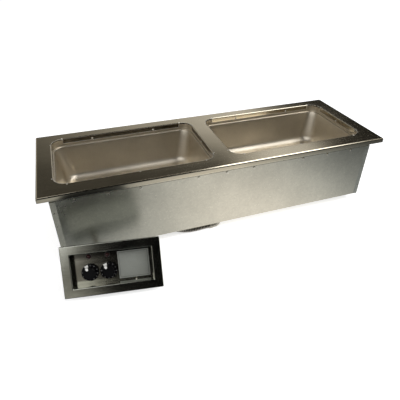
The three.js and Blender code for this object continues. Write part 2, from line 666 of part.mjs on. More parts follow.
// Bottom sheet: a shallow tray that lies on the panels' flanges.
function bottomSheet() {
  const length = 2 * (END_INNER_X - CLEARANCE);
  const width = 2 * (PANEL_BACK_Y - CLEARANCE);
  const rim = BOTTOM_SHEET_UNDERSIDE + BOTTOM_FLANGE_HEIGHT;
  const tray = centredBlock(length, width, BOTTOM_SHEET_UNDERSIDE, rim);
  const inside = centredBlock(
    length - 2 * HOUSING_GAUGE, width - 2 * HOUSING_GAUGE, BOTTOM_SHEET_TOP, rim + OVERRUN,
  );
  const hole = post(
    THREAD_RADIUS + CLEARANCE, BOTTOM_SHEET_UNDERSIDE - OVERRUN, BOTTOM_SHEET_TOP + OVERRUN,
    ELBOW_X, ELBOW_Y, ROUND_SIDES,
  );
  return tray.subtract(inside).subtract(hole);
}

function seamScrew(x) {
  const head = -PANEL_FACE_Y - CLEARANCE;
  const z = PLATE_TOP - SCREW_DROP;
  const washer = crossPost(SCREW_WASHER_RADIUS, head - SCREW_WASHER_HEIGHT, head, x, z, 2 * HEXAGON_SIDES);
  const hexagon = crossPost(SCREW_HEAD_RADIUS, head - SCREW_HEAD_HEIGHT, head, x, z, HEXAGON_SIDES);
  const shank = crossPost(SCREW_SHANK_RADIUS, head - SCREW_WASHER_HEIGHT, head + SCREW_LENGTH, x, z);
  return joined([washer, hexagon, shank]);
}

// Insulation batts fill the space from a face of the housing to the pan wall, which
// they meet at their top edge. These are the batts' inner faces.
function battFaces() {
  const edge = panWallInset(BATT_TOP) - CLEARANCE;
  return {
    front: FRONT_LAND - PLATE_WIDTH / 2 + edge,
    back: PLATE_WIDTH / 2 - BACK_LAND - edge,
    end: PLATE_LENGTH / 2 - END_LAND - edge,
  };
}

function frontBatt() {
  const faces = battFaces();
  const half = faces.end - CLEARANCE;
  return block([-half, -RAIL_FACE_Y, BATT_FOOT], [half, faces.front, BATT_TOP]);
}

function backBatt() {
  const faces = battFaces();
  const half = faces.end - CLEARANCE;
  return block([-half, faces.back, BATT_FOOT], [half, RAIL_FACE_Y, BATT_TOP]);
}

function endBatt(side) {
  const middle = (side * (RAIL_FACE_X + battFaces().end)) / 2;
  const thickness = RAIL_FACE_X - battFaces().end;
  return centredBlock(thickness, 2 * RAIL_FACE_Y, BATT_FOOT, BATT_TOP, middle);
}

// Wedge between the two leaning pan walls, standing on the batt below.
function middleBatt() {
  const foot = UNDER_BATT_TOP + CLEARANCE;
  const topHalf = LAND_BETWEEN / 2 + panWallInset(BATT_TOP) - CLEARANCE;
  const footHalf = LAND_BETWEEN / 2 + panWallInset(foot) - CLEARANCE;
  const front = battFaces().front + CLEARANCE;
  const back = battFaces().back - CLEARANCE;
  const wedge = polygon([[-footHalf, foot], [footHalf, foot], [topHalf, BATT_TOP], [-topHalf, BATT_TOP]]);
  const geometry = new THREE.ExtrudeGeometry(wedge, { depth: back - front, bevelEnabled: false });
  geometry.rotateX(Math.PI / 2);
  geometry.translate(0, back, 0);
  return solidOf(geometry);
}

// Batt on the bottom sheet, cut back along the front to leave a channel for the wiring.
function underBatt() {
  const faces = battFaces();
  const half = faces.end - CLEARANCE;
  const front = WIRING_CHANNEL_WIDTH - RAIL_FACE_Y;
  return block([-half, front, UNDER_BATT_FOOT], [half, faces.back - CLEARANCE, UNDER_BATT_TOP]);
}

// One station of a heating element that lies level.
function elementStation(x, y, forward) {
  const place = new THREE.Vector3(x, y, 0);
  return { place, forward, up: new THREE.Vector3(0, 0, 1), radius: ELEMENT_RADIUS };
}

// Half turn from one lane of a heating element to the next, on the side of its heading.
function elementTurn(lane, heading) {
  const reach = ELEMENT_LENGTH / 2 - ELEMENT_BEND_RADIUS;
  const y = (lane - (ELEMENT_LANES - 1) / 2) * 2 * ELEMENT_BEND_RADIUS;
  const stations = [];
  for (let step = 0; step <= 2 * CORNER_STEPS; step += 1) {
    const angle = (Math.PI / 2) * (step / CORNER_STEPS - 1);
    const x = heading * (reach + ELEMENT_BEND_RADIUS * Math.cos(angle));
    const forward = new THREE.Vector3(-heading * Math.sin(angle), Math.cos(angle), 0);
    stations.push(elementStation(x, y + ELEMENT_BEND_RADIUS * (1 + Math.sin(angle)), forward));
  }
  return stations;
}

// Heating element: lanes side by side, joined by half turns, with both ends on the left.
function heatingElement(centreX) {
  const turns = [];
  for (let lane = 0; lane < ELEMENT_LANES - 1; lane += 1) {
    turns.push(...elementTurn(lane, lane % 2 === 0 ? 1 : -1));
  }
  const end = -ELEMENT_LENGTH / 2 + ELEMENT_BEND_RADIUS;
  const first = elementStation(end, turns[0].place.y, turns[0].forward);
  const last = elementStation(end, turns.at(-1).place.y, turns.at(-1).forward);
  const geometry = sweep([first, ...turns, last], ELEMENT_SIDES);
  geometry.translate(centreX, OPENING_SETBACK, ELEMENT_LEVEL);
  return solidOf(geometry);
}

// Tray that presses the element against the pan, with its rim turned out.
function elementTray(centreX) {
  const outer = [
    [0, TRAY_UNDERSIDE], [0, TRAY_TOP - TRAY_GAUGE], [-TRAY_RIM_WIDTH, TRAY_TOP - TRAY_GAUGE],
    [-TRAY_RIM_WIDTH, TRAY_TOP],
  ];
  const inner = [[TRAY_GAUGE, TRAY_TOP], [TRAY_GAUGE, TRAY_UNDERSIDE + TRAY_GAUGE]];
  const rings = [...outer, ...inner].map(([inset, z]) => (
    rectangleRing(TRAY_LENGTH, TRAY_WIDTH, inset, z, TRAY_CORNER_RADIUS - inset)
  ));
  const geometry = loft(rings, false, ARC_STEPS);
  geometry.translate(centreX, OPENING_SETBACK, 0);
  return solidOf(geometry);
}

// A locknut with shallow slots round its edge, seated on a sheet.
function locknut(low, x, y) {
  const steps = WAVE_STEPS * LOCKNUT_TEETH;
  const points = [];
  for (let step = 0; step < steps; step += 1) {
    const angle = (2 * Math.PI * step) / steps;
    const slotted = step % WAVE_STEPS >= WAVE_STEPS / 2;
    const radius = slotted ? LOCKNUT_RADIUS - LOCKNUT_SLOT_DEPTH : LOCKNUT_RADIUS;
    points.push([x + radius * Math.cos(angle), y + radius * Math.sin(angle)]);
  }
  const nut = prism(polygon(points), low, low + LOCKNUT_HEIGHT);
  const bore = THREAD_RADIUS + CLEARANCE;
  return nut.subtract(post(bore, low - OVERRUN, low + LOCKNUT_HEIGHT + OVERRUN, x, y, ROUND_SIDES));
}

// Elbow from its mouth through the quarter bend and up through the bottom sheet, then
// back down its bore.
function conduitElbow() {
  const mouth = ELBOW_X - ELBOW_REACH;
  const collarTop = BOTTOM_SHEET_UNDERSIDE - CLEARANCE;
  const threadTop = BOTTOM_SHEET_TOP + THREAD_LENGTH;
  const outside = [
    elbowLevelStation(mouth, CLAMP_RING_RADIUS),
    elbowLevelStation(mouth + CLAMP_RING_WIDTH, CLAMP_RING_RADIUS),
    elbowLevelStation(mouth + CLAMP_RING_WIDTH, FITTING_RADIUS),
    ...elbowBendStations(FITTING_RADIUS),
    elbowUprightStation(collarTop - FITTING_COLLAR_HEIGHT, FITTING_RADIUS),
    elbowUprightStation(collarTop - FITTING_COLLAR_HEIGHT, FITTING_COLLAR_RADIUS),
    elbowUprightStation(collarTop, FITTING_COLLAR_RADIUS),
    elbowUprightStation(collarTop, THREAD_RADIUS),
    elbowUprightStation(threadTop, THREAD_RADIUS),
  ];
  const bore = [
    elbowLevelStation(mouth, FITTING_BORE_RADIUS),
    ...elbowBendStations(FITTING_BORE_RADIUS),
    elbowUprightStation(threadTop, FITTING_BORE_RADIUS),
  ];
  return solidOf(sweep([...outside, ...bore.reverse()], ROUND_SIDES, true));
}

function elbowStation(x, z, angle, radius) {
  const place = new THREE.Vector3(x, ELBOW_Y, z);
  const forward = new THREE.Vector3(Math.cos(angle), 0, Math.sin(angle));
  return { place, forward, up: new THREE.Vector3(0, 1, 0), radius };
}

function elbowLevelStation(x, radius) {
  return elbowStation(x, ELBOW_LEVEL, 0, radius);
}

function elbowUprightStation(z, radius) {
  return elbowStation(ELBOW_X, z, Math.PI / 2, radius);
}

function elbowBendStations(radius) {
  const stations = [];
  for (let step = 0; step <= CORNER_STEPS; step += 1) {
    const angle = (Math.PI / 2) * (step / CORNER_STEPS);
    const x = ELBOW_X - ELBOW_BEND_RADIUS * (1 - Math.sin(angle));
    const z = ELBOW_LEVEL + ELBOW_BEND_RADIUS * (1 - Math.cos(angle));
    stations.push(elbowStation(x, z, angle, radius));
  }
  return stations;
}

// Ribbed conduit with its bore. Both ends are plain and straight for one diameter.
function flexibleConduit() {
  const route = new THREE.CatmullRomCurve3(CONDUIT_ROUTE.map((point) => new THREE.Vector3(...point)));
  route.arcLengthDivisions = ROUTE_DIVISIONS;
  const length = route.getLength();
  const plainShare = (2 * CONDUIT_RADIUS) / length;
  const ribShare = (1 - 2 * plainShare) / CONDUIT_RIBS;
  const outside = [[0, CONDUIT_ROOT_RADIUS]];
  for (let rib = 0; rib < CONDUIT_RIBS; rib += 1) {
    const start = plainShare + rib * ribShare;
    outside.push([start, CONDUIT_ROOT_RADIUS], [start + ribShare / 2, CONDUIT_RADIUS]);
  }
  outside.push([1 - plainShare, CONDUIT_ROOT_RADIUS], [1, CONDUIT_ROOT_RADIUS]);
  const bore = [[0, CONDUIT_BORE_RADIUS]];
  for (let rib = 0; rib <= CONDUIT_RIBS; rib += RIBS_PER_BORE_RING) {
    bore.push([plainShare + rib * ribShare, CONDUIT_BORE_RADIUS]);
  }
  bore.push([1, CONDUIT_BORE_RADIUS]);
  return solidOf(sweep(routeStations(route, [...outside, ...bore.reverse()]), CONDUIT_SIDES, true));
}

// Stations along a curve, each given as a share of its length and a radius.
function routeStations(route, sharesAndRadii) {
  const frameCount = FRAMES_PER_RIB * CONDUIT_RIBS;
  const frames = route.computeFrenetFrames(frameCount, false);
  return sharesAndRadii.map(([share, radius]) => {
    const frame = Math.round(share * frameCount);
    const place = route.getPointAt(share);
    return { place, forward: frames.tangents[frame], up: frames.binormals[frame], radius };
  });
}

// The control panel is built lying flat: x to the right, y up the panel, z = 0 on the
// face of the bezel and negative behind it.
// One face of the bezel's sheet from the outer return, over the rim, down to the end
// of the recess wall. Each entry is the end and side insets and a height.
function bezelFace(gauge) {
  const edge = BEZEL_EDGE_RADIUS;
  const bend = edge - gauge;
  const face = [[gauge, gauge, -BEZEL_RETURN]];
  for (let step = 0; step <= ARC_STEPS; step += 1) {
    const angle = (Math.PI / 2) * (step / ARC_STEPS);
    const inset = edge - bend * Math.cos(angle);
    face.push([inset, inset, bend * Math.sin(angle) - edge]);
  }
  for (let step = 0; step <= ARC_STEPS; step += 1) {
    const angle = (Math.PI / 2) * (step / ARC_STEPS);
    const back = edge - bend * Math.sin(angle);
    face.push([BEZEL_END_MARGIN - back, BEZEL_SIDE_MARGIN - back, bend * Math.cos(angle) - edge]);
  }
  face.push([BEZEL_END_MARGIN - gauge, BEZEL_SIDE_MARGIN - gauge, RECESS_WALL_END]);
  return face;
}

function bezel() {
  const profile = [...bezelFace(0), ...bezelFace(BEZEL_GAUGE).reverse()];
  const rings = profile.map(([endInset, sideInset, z]) => ({
    length: BEZEL_LENGTH - 2 * endInset, width: BEZEL_HEIGHT - 2 * sideInset, z, radius: RECESS_CORNER_RADIUS,
  }));
  return solidOf(loft(rings, true, ARC_STEPS));
}

// The two dials' places from left to right, named by side.
function dialPlaces() {
  return { left: FIRST_DIAL, right: FIRST_DIAL + DIAL_PITCH };
}

function controlPlate() {
  const length = RECESS_LENGTH - 2 * CLEARANCE;
  const height = RECESS_HEIGHT - 2 * CLEARANCE;
  const outline = roundedRectangle(length, height, RECESS_CORNER_RADIUS - CLEARANCE);
  const tray = prism(outline, RECESS_WALL_END, -RECESS_DEPTH, ARC_STEPS);
  const inside = centredBlock(
    length - 2 * BEZEL_GAUGE, height - 2 * BEZEL_GAUGE, RECESS_WALL_END - OVERRUN, CONTROL_PLATE_BACK,
  );
  const low = CONTROL_PLATE_BACK - OVERRUN;
  const high = -RECESS_DEPTH + OVERRUN;
  const holes = Object.values(dialPlaces()).flatMap((x) => [
    post(BUSHING_RADIUS + CLEARANCE, low, high, x, DIAL_LEVEL, ROUND_SIDES),
    post(LAMP_BODY_RADIUS + CLEARANCE, low, high, x, LAMP_LEVEL, ROUND_SIDES),
  ]);
  return tray.subtract(inside).subtract(joined(holes));
}

function controlBox() {
  const gauge = CONTROL_BOX_GAUGE;
  const radius = CONTROL_BOX_CORNER_RADIUS;
  const mouth = -BEZEL_GAUGE - CLEARANCE;
  const rings = [
    rectangleRing(BOX_INNER_LENGTH, BOX_INNER_HEIGHT, -gauge, BOX_UNDERSIDE, radius),
    rectangleRing(BOX_INNER_LENGTH, BOX_INNER_HEIGHT, -gauge, mouth, radius),
    rectangleRing(BOX_INNER_LENGTH, BOX_INNER_HEIGHT, 0, mouth, radius - gauge),
    rectangleRing(BOX_INNER_LENGTH, BOX_INNER_HEIGHT, 0, BOX_FLOOR, radius - gauge),
  ];
  const hole = post(
    THREAD_RADIUS + CLEARANCE, BOX_UNDERSIDE - OVERRUN, BOX_FLOOR + OVERRUN,
    BOX_FITTING_SHIFT, 0, ROUND_SIDES,
  );
  return solidOf(loft(rings, false, ARC_STEPS)).subtract(hole);
}

// Straight connector on the box's back: thread, collar, barrel and clamp ring.
function boxConnector() {
  const collarFace = BOX_UNDERSIDE - CLEARANCE;
  const mouth = collarFace - BOX_FITTING_LENGTH;
  const threadEnd = BOX_FLOOR + THREAD_LENGTH;
  const at = (radius, low, high) => post(radius, low, high, BOX_FITTING_SHIFT, 0, ROUND_SIDES);
  const outside = joined([
    at(THREAD_RADIUS, collarFace, threadEnd),
    at(FITTING_COLLAR_RADIUS, collarFace - FITTING_COLLAR_HEIGHT, collarFace),
    at(FITTING_RADIUS, mouth, collarFace),
    at(CLAMP_RING_RADIUS, mouth, mouth + CLAMP_RING_WIDTH),
  ]);
  return outside.subtract(at(FITTING_BORE_RADIUS, mouth - OVERRUN, threadEnd + OVERRUN));
}

// Switch body with its bushing through the control plate and four tabs behind.
function heatSwitch(x) {
  const w = SWITCH_LENGTH / 2;
  const h = SWITCH_HEIGHT / 2;
  const c = SWITCH_CHAMFER;
  const outline = polygon([
    [x - w + c, DIAL_LEVEL - h], [x + w - c, DIAL_LEVEL - h], [x + w, DIAL_LEVEL - h + c],
    [x + w, DIAL_LEVEL + h - c], [x + w - c, DIAL_LEVEL + h], [x - w + c, DIAL_LEVEL + h],
    [x - w, DIAL_LEVEL + h - c], [x - w, DIAL_LEVEL - h + c],
  ]);
  const standout = BUSHING_STANDOUT - RECESS_DEPTH;
  const tail = SWITCH_FACE - SHAFT_TAIL - CLEARANCE;
  const bushing = post(BUSHING_RADIUS, SWITCH_FACE - c, standout, x, DIAL_LEVEL, ROUND_SIDES);
  const bore = post(SHAFT_RADIUS + CLEARANCE, tail, standout + OVERRUN, x, DIAL_LEVEL, ROUND_SIDES);
  const tabs = [[-1, -1], [-1, 1], [1, -1], [1, 1]].map(([across, up]) => centredBlock(
    SWITCH_TAB_GAUGE, SWITCH_TAB_WIDTH, SWITCH_BACK - SWITCH_TAB_LENGTH, SWITCH_BACK + SWITCH_TAB_GAUGE,
    x + across * w / 2, DIAL_LEVEL + up * h / 2,
  ));
  return joined([prism(outline, SWITCH_BACK, SWITCH_FACE), bushing, ...tabs]).subtract(bore);
}

// Switch shaft, round in the switch and flatted where the knob sits on it.
function switchShaft(x) {
  const low = SWITCH_FACE - SHAFT_TAIL;
  const high = KNOB_BACK + SHAFT_GRIP_DEPTH;
  const bar = post(SHAFT_RADIUS, low, high, x, DIAL_LEVEL, ROUND_SIDES);
  const flat = block(
    [x - SHAFT_RADIUS - OVERRUN, DIAL_LEVEL + SHAFT_FLAT, KNOB_BACK + CLEARANCE],
    [x + SHAFT_RADIUS + OVERRUN, DIAL_LEVEL + SHAFT_RADIUS + OVERRUN, high + OVERRUN],
  );
  return bar.subtract(flat);
}

// Outline of the fluted grip, a wave round a circle.
function gripOutline(radius, x) {
  const steps = KNOB_GRIP_FLUTES * WAVE_STEPS;
  const points = [];
  for (let step = 0; step < steps; step += 1) {
    const angle = (2 * Math.PI * step) / steps;
    const wave = (1 - Math.cos(angle * KNOB_GRIP_FLUTES)) / 2;
    const reach = radius - KNOB_FLUTE_DEPTH * wave;
    points.push([x + reach * Math.cos(angle), DIAL_LEVEL + reach * Math.sin(angle)]);
  }
  return polygon(points);
}

function dialKnob(x) {
  const skirt = new THREE.LatheGeometry([
    new THREE.Vector2(0, KNOB_BACK), new THREE.Vector2(KNOB_SKIRT_RADIUS, KNOB_BACK),
    new THREE.Vector2(KNOB_SKIRT_RADIUS, KNOB_SKIRT_TOP - KNOB_EDGE),
    new THREE.Vector2(KNOB_SKIRT_RADIUS - KNOB_EDGE, KNOB_SKIRT_TOP), new THREE.Vector2(0, KNOB_SKIRT_TOP),
  ], 2 * ROUND_SIDES);
  skirt.rotateX(Math.PI / 2);
  skirt.translate(x, DIAL_LEVEL, 0);
  const coneHeight = KNOB_GRIP_HEIGHT + KNOB_EDGE;
  const cone = new THREE.CylinderGeometry(
    KNOB_GRIP_RADIUS - KNOB_GRIP_TAPER, KNOB_GRIP_RADIUS + KNOB_EDGE, coneHeight, 2 * ROUND_SIDES,
  );
  cone.rotateX(Math.PI / 2);
  cone.translate(x, DIAL_LEVEL, KNOB_TOP - coneHeight / 2);
  const grip = prism(gripOutline(KNOB_GRIP_RADIUS, x), KNOB_SKIRT_TOP - KNOB_EDGE, KNOB_TOP);
  const socketTop = KNOB_BACK + SHAFT_GRIP_DEPTH + CLEARANCE;
  const socket = post(SHAFT_RADIUS + CLEARANCE, KNOB_BACK - OVERRUN, socketTop, x, DIAL_LEVEL, ROUND_SIDES);
  const flat = block(
    [x - SHAFT_RADIUS - OVERRUN, DIAL_LEVEL + SHAFT_FLAT + CLEARANCE, KNOB_BACK + 2 * CLEARANCE],
    [x + SHAFT_RADIUS + OVERRUN, DIAL_LEVEL + SHAFT_RADIUS + OVERRUN, socketTop + OVERRUN],
  );
  return joined([solidOf(skirt), grip.intersect(solidOf(cone))]).subtract(socket.subtract(flat));
}

// Lamp body: a flange on the plate and a barrel through it.
function lampBody(x) {
  const seat = -RECESS_DEPTH + CLEARANCE;
  const top = seat + LAMP_FLANGE_HEIGHT;
  const flange = post(LAMP_FLANGE_RADIUS, seat, top, x, LAMP_LEVEL, ROUND_SIDES);
  const barrel = post(LAMP_BODY_RADIUS, seat - LAMP_BODY_DEPTH, top, x, LAMP_LEVEL, ROUND_SIDES);
  return flange.add(barrel);
}

function lampLens(x) {
  const foot = -RECESS_DEPTH + 2 * CLEARANCE + LAMP_FLANGE_HEIGHT;
  const profile = [new THREE.Vector2(0, foot), new THREE.Vector2(LENS_RADIUS, foot)];
  for (let step = 1; step <= CORNER_STEPS; step += 1) {
    const angle = (Math.PI / 2) * (step / CORNER_STEPS);
    const radius = step === CORNER_STEPS ? 0 : LENS_RADIUS * Math.cos(angle);
    profile.push(new THREE.Vector2(radius, foot + LENS_HEIGHT * Math.sin(angle)));
  }
  const dome = new THREE.LatheGeometry(profile, ROUND_SIDES);
  dome.rotateX(Math.PI / 2);
  dome.translate(x, LAMP_LEVEL, 0);
  return solidOf(dome);
}

function labelPlate() {
  const seat = -RECESS_DEPTH + CLEARANCE;
  return centredBlock(LABEL_LENGTH, LABEL_HEIGHT, seat, seat + LABEL_GAUGE, LABEL_MIDDLE, LABEL_LEVEL);
}

function terminalBlock() {
  const seat = BOX_FLOOR + CLEARANCE;
  const top = seat + TERMINAL_DEPTH;
  const base = centredBlock(TERMINAL_LENGTH, TERMINAL_HEIGHT, seat, top, TERMINAL_MIDDLE);
  const pitch = TERMINAL_LENGTH / TERMINAL_POSTS;
  const posts = [];
  for (let index = 0; index < TERMINAL_POSTS; index += 1) {
    const x = TERMINAL_MIDDLE + (index - (TERMINAL_POSTS - 1) / 2) * pitch;
    posts.push(post(TERMINAL_POST_RADIUS, top - TERMINAL_POST_HEIGHT, top + TERMINAL_POST_HEIGHT, x));
  }
  return joined([base, ...posts]);
}

// Finishes of the materials
const STAINLESS = { color: 0x8d8a84, roughness: 0.35, metalness: 1 };
const DRAWN_STAINLESS = { color: 0x8c8378, roughness: 0.45, metalness: 1 };
const GALVANISED = { color: 0xa9aeb0, roughness: 0.5, metalness: 0.9 };
const BRIGHT_STEEL = { color: 0xb9b7b0, roughness: 0.35, metalness: 1 };
const DARK_STEEL = { color: 0x55524c, roughness: 0.5, metalness: 0.9 };
const CAST_ZINC = { color: 0x9b9a96, roughness: 0.5, metalness: 0.9 };
const GLASS_WOOL = { color: 0xd9cf9a, roughness: 1, metalness: 0 };
const BLACK_PLASTIC = { color: 0x0c0c0c, roughness: 0.35, metalness: 0 };
const RED_LENS = { color: 0x5a0d10, roughness: 0.2, metalness: 0 };
const SILVER_LABEL = { color: 0x9a9c9a, roughness: 0.5, metalness: 0.8 };

function wellAssembly() {
  const group = new THREE.Group();
  group.add(meshOf("top_plate", topPlate(), STAINLESS));
  for (const [side, centreX] of Object.entries(WELL_CENTRES)) {
    group.add(meshOf(`well_pan_${side}`, wellPan(centreX), DRAWN_STAINLESS));
    group.add(meshOf(`heating_element_${side}`, heatingElement(centreX), DARK_STEEL));
    group.add(meshOf(`element_tray_${side}`, elementTray(centreX), GALVANISED));
  }
  return group;
}

function housingAssembly() {
  const group = new THREE.Group();
  group.add(meshOf("rail_front", withScrewHoles(longRail(-1)), GALVANISED));
  group.add(meshOf("rail_back", longRail(1), GALVANISED));
  group.add(meshOf("rail_left", endRail(-1), GALVANISED));
  group.add(meshOf("rail_right", endRail(1), GALVANISED));
  group.add(meshOf("housing_front", withScrewHoles(longPanel(-1)), GALVANISED));
  group.add(meshOf("housing_back", longPanel(1), GALVANISED));
  group.add(meshOf("housing_end_left", endPanel(-1), GALVANISED));
  group.add(meshOf("housing_end_right", endPanel(1), GALVANISED));
  group.add(meshOf("housing_bottom", bottomSheet(), GALVANISED));
  screwPlaces().forEach((x, index) => {
    group.add(meshOf(`seam_screw_${index + 1}`, seamScrew(x), BRIGHT_STEEL));
  });
  return group;
}

function insulationAssembly() {
  const group = new THREE.Group();
  group.add(meshOf("insulation_front", frontBatt(), GLASS_WOOL));
  group.add(meshOf("insulation_back", backBatt(), GLASS_WOOL));
  group.add(meshOf("insulation_left", endBatt(-1), GLASS_WOOL));
  group.add(meshOf("insulation_right", endBatt(1), GLASS_WOOL));
  group.add(meshOf("insulation_middle", middleBatt(), GLASS_WOOL));
  group.add(meshOf("insulation_under", underBatt(), GLASS_WOOL));
  return group;
}

function conduitAssembly() {
  const group = new THREE.Group();
  group.add(meshOf("conduit_elbow", conduitElbow(), CAST_ZINC));
  group.add(meshOf("elbow_locknut", locknut(BOTTOM_SHEET_TOP + CLEARANCE, ELBOW_X, ELBOW_Y), BRIGHT_STEEL));
  group.add(meshOf("flexible_conduit", flexibleConduit(), DARK_STEEL));
  return group;
}

function controlAssembly() {
  const group = new THREE.Group();
  group.add(meshOf("control_bezel", bezel(), STAINLESS));
  group.add(meshOf("control_plate", controlPlate(), STAINLESS));
  group.add(meshOf("control_box", controlBox(), GALVANISED));
  group.add(meshOf("box_connector", boxConnector(), CAST_ZINC));
  group.add(meshOf("connector_locknut", locknut(BOX_FLOOR + CLEARANCE, BOX_FITTING_SHIFT, 0), BRIGHT_STEEL));
  group.add(meshOf("label_plate", labelPlate(), SILVER_LABEL));
  group.add(meshOf("terminal_block", terminalBlock(), BLACK_PLASTIC));
  for (const [side, x] of Object.entries(dialPlaces())) {
    group.add(meshOf(`heat_switch_${side}`, heatSwitch(x), BLACK_PLASTIC));
    group.add(meshOf(`switch_shaft_${side}`, switchShaft(x), BRIGHT_STEEL));
    group.add(meshOf(`knob_${side}`, dialKnob(x), BLACK_PLASTIC));
    group.add(meshOf(`lamp_body_${side}`, lampBody(x), BLACK_PLASTIC));
    group.add(meshOf(`lamp_lens_${side}`, lampLens(x), RED_LENS));
  }
  // The box leans back on its lower rear edge, level with the lowest point of the elbow.
  const tilt = THREE.MathUtils.degToRad(CONTROL_TILT_DEGREES);
  const lowest = Math.cos(tilt) * (BOX_OUTER_HEIGHT / 2) - Math.sin(tilt) * BOX_UNDERSIDE;
  group.rotation.set(Math.PI / 2 - tilt, 0, THREE.MathUtils.degToRad(CONTROL_YAW_DEGREES), "ZXY");
  group.position.set(CONTROL_X, CONTROL_Y, GROUND + lowest);
  return group;
}

const foodWell = new THREE.Group();
foodWell.add(wellAssembly(), housingAssembly(), insulationAssembly(), conduitAssembly(), controlAssembly());

export default foodWell;
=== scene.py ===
"""Dressed model of a drop-in food well with two pans and a remote control box."""

import logging
import math
from dataclasses import dataclass, field
from enum import Enum
from typing import Callable, NamedTuple, Sequence

import bmesh
import bpy
from mathutils import Matrix, Vector


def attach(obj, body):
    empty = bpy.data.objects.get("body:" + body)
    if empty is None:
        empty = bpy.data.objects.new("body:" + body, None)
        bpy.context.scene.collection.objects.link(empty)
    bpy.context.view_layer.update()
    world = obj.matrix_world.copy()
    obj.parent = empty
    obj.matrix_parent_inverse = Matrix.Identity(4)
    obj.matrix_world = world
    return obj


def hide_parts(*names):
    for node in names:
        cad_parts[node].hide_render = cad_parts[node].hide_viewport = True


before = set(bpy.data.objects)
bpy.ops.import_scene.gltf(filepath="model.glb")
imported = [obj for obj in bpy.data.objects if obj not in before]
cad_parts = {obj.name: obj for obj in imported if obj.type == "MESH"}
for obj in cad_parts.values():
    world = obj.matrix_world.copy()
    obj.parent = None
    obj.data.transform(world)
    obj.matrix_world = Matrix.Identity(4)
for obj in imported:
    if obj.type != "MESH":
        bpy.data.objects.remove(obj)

Colour = tuple[float, float, float]
Node = bpy.types.Node
Pair = tuple[float, float]
Piece = bpy.types.Object
Point = tuple[float, float, float]
Socket = bpy.types.NodeSocket
Sockets = bpy.types.bpy_prop_collection

LOG = logging.getLogger("food_well")
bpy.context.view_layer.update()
MM = 0.001
CLEARANCE = 0.3 * MM
MERGE_DISTANCE = 1e-6
CAD_MERGE_DISTANCE = 2e-6
EDGE_TOLERANCE = 1e-5
FLAT = math.radians(0.5)
OPENING: Pair = (508 * MM, 305 * MM)
SETBACK = 7 * MM
WELLS = {"left": -283.5 * MM, "right": 283.5 * MM}


class Body(Enum):
    """Rigid bodies of the frame that pieces ride on."""

    HOUSING = "housing"
    KNOB_LEFT = "knob_left"
    KNOB_RIGHT = "knob_right"


class Grain(Enum):
    """Direction of a brushed grain, as factors that its noise is squeezed by."""

    ALONG_X = (0.02, 1.0, 1.0)
    ALL_WAYS = (1.0, 1.0, 1.0)


# Small helpers for objects and edit mode


def deselect_all() -> None:
    """Leaves edit mode and clears the selection."""
    if bpy.context.object is not None and bpy.context.object.mode != "OBJECT":
        bpy.ops.object.mode_set(mode="OBJECT")
    bpy.ops.object.select_all(action="DESELECT")


def activate(*pieces: Piece) -> None:
    """Selects objects and nothing else, and makes the first one active.

    Args:
        pieces: the objects to work on.
    """
    deselect_all()
    for piece in pieces:
        piece.select_set(True)
    bpy.context.view_layer.objects.active = pieces[0]


class Editing:
    """Edit mode on a piece, all of it selected, for the length of a with block."""

    def __init__(self, piece: Piece, mode: str = "VERT") -> None:
        """Keeps the piece and the selection mode."""
        self.piece = piece
        self.mode = mode

    def __enter__(self) -> None:
        """Enters edit mode and selects the whole mesh."""
        activate(self.piece)
        bpy.ops.object.mode_set(mode="EDIT")
        bpy.ops.mesh.select_mode(type=self.mode)
        bpy.ops.mesh.select_all(action="SELECT")

    def __exit__(self, *problem: object) -> None:
        """Leaves edit mode."""
        bpy.ops.object.mode_set(mode="OBJECT")


def select_edges(piece: Piece, passes: Callable[[Vector], bool]) -> None:
    """Selects in edit mode the edges whose two ends pass a test, and nothing else.

    Args:
        piece: the object that is edited.
        passes: tells whether a point passes.
    """
    bpy.ops.mesh.select_all(action="DESELECT")
    mesh = bmesh.from_edit_mesh(piece.data)
    for edge in mesh.edges:
        edge.select = all(passes(vertex.co) for vertex in edge.verts)
    mesh.select_flush(True)
    bmesh.update_edit_mesh(piece.data)


def extrude_edges(x: float, y: float, z: float) -> None:
    """Extrudes the selected edges in edit mode and shifts them."""
    bpy.ops.mesh.extrude_edges_move(TRANSFORM_OT_translate={"value": (x, y, z)})


def apply_modifier(piece: Piece, kind: str, **settings: object) -> None:
    """Adds a modifier with its settings and applies it.

    Args:
        piece: the object that it shapes.
        kind: the modifier's type name.
        settings: values of the modifier's own properties.
    """
    activate(piece)
    modifier = piece.modifiers.new(kind.title(), kind)
    for name, value in settings.items():
        setattr(modifier, name, value)
    bpy.ops.object.modifier_apply(modifier=modifier.name)


def settle(piece: Piece, place: Matrix | None = None) -> None:
    """Writes a piece's place into its mesh, so that its object sits at the origin.

    Args:
        piece: the object to settle.
        place: the turn and place that it moves to first, or None to stay.
    """
    if place is not None:
        piece.matrix_world = place
    activate(piece)
    bpy.ops.object.transform_apply(location=True, rotation=True, scale=True)


def smooth(piece: Piece, degrees: float = 38) -> None:
    """Shades a piece smooth across every edge flatter than an angle."""
    activate(piece)
    bpy.ops.object.shade_smooth_by_angle(angle=math.radians(degrees))


def recalculate_normals(piece: Piece) -> None:
    """Merges doubled points and turns all faces outwards.

    Args:
        piece: the object to mend.
    """
    with Editing(piece):
        bpy.ops.mesh.remove_doubles(threshold=MERGE_DISTANCE)
        bpy.ops.mesh.normals_make_consistent(inside=False)


def linked(name: str, data: bpy.types.ID) -> Piece:
    """Makes an object of some data and links it to the scene.

    Args:
        name: the object's name.
        data: its mesh, curve, lamp or camera.

    Returns:
        The new object.
    """
    piece = bpy.data.objects.new(name, data)
    bpy.context.scene.collection.objects.link(piece)
    return piece


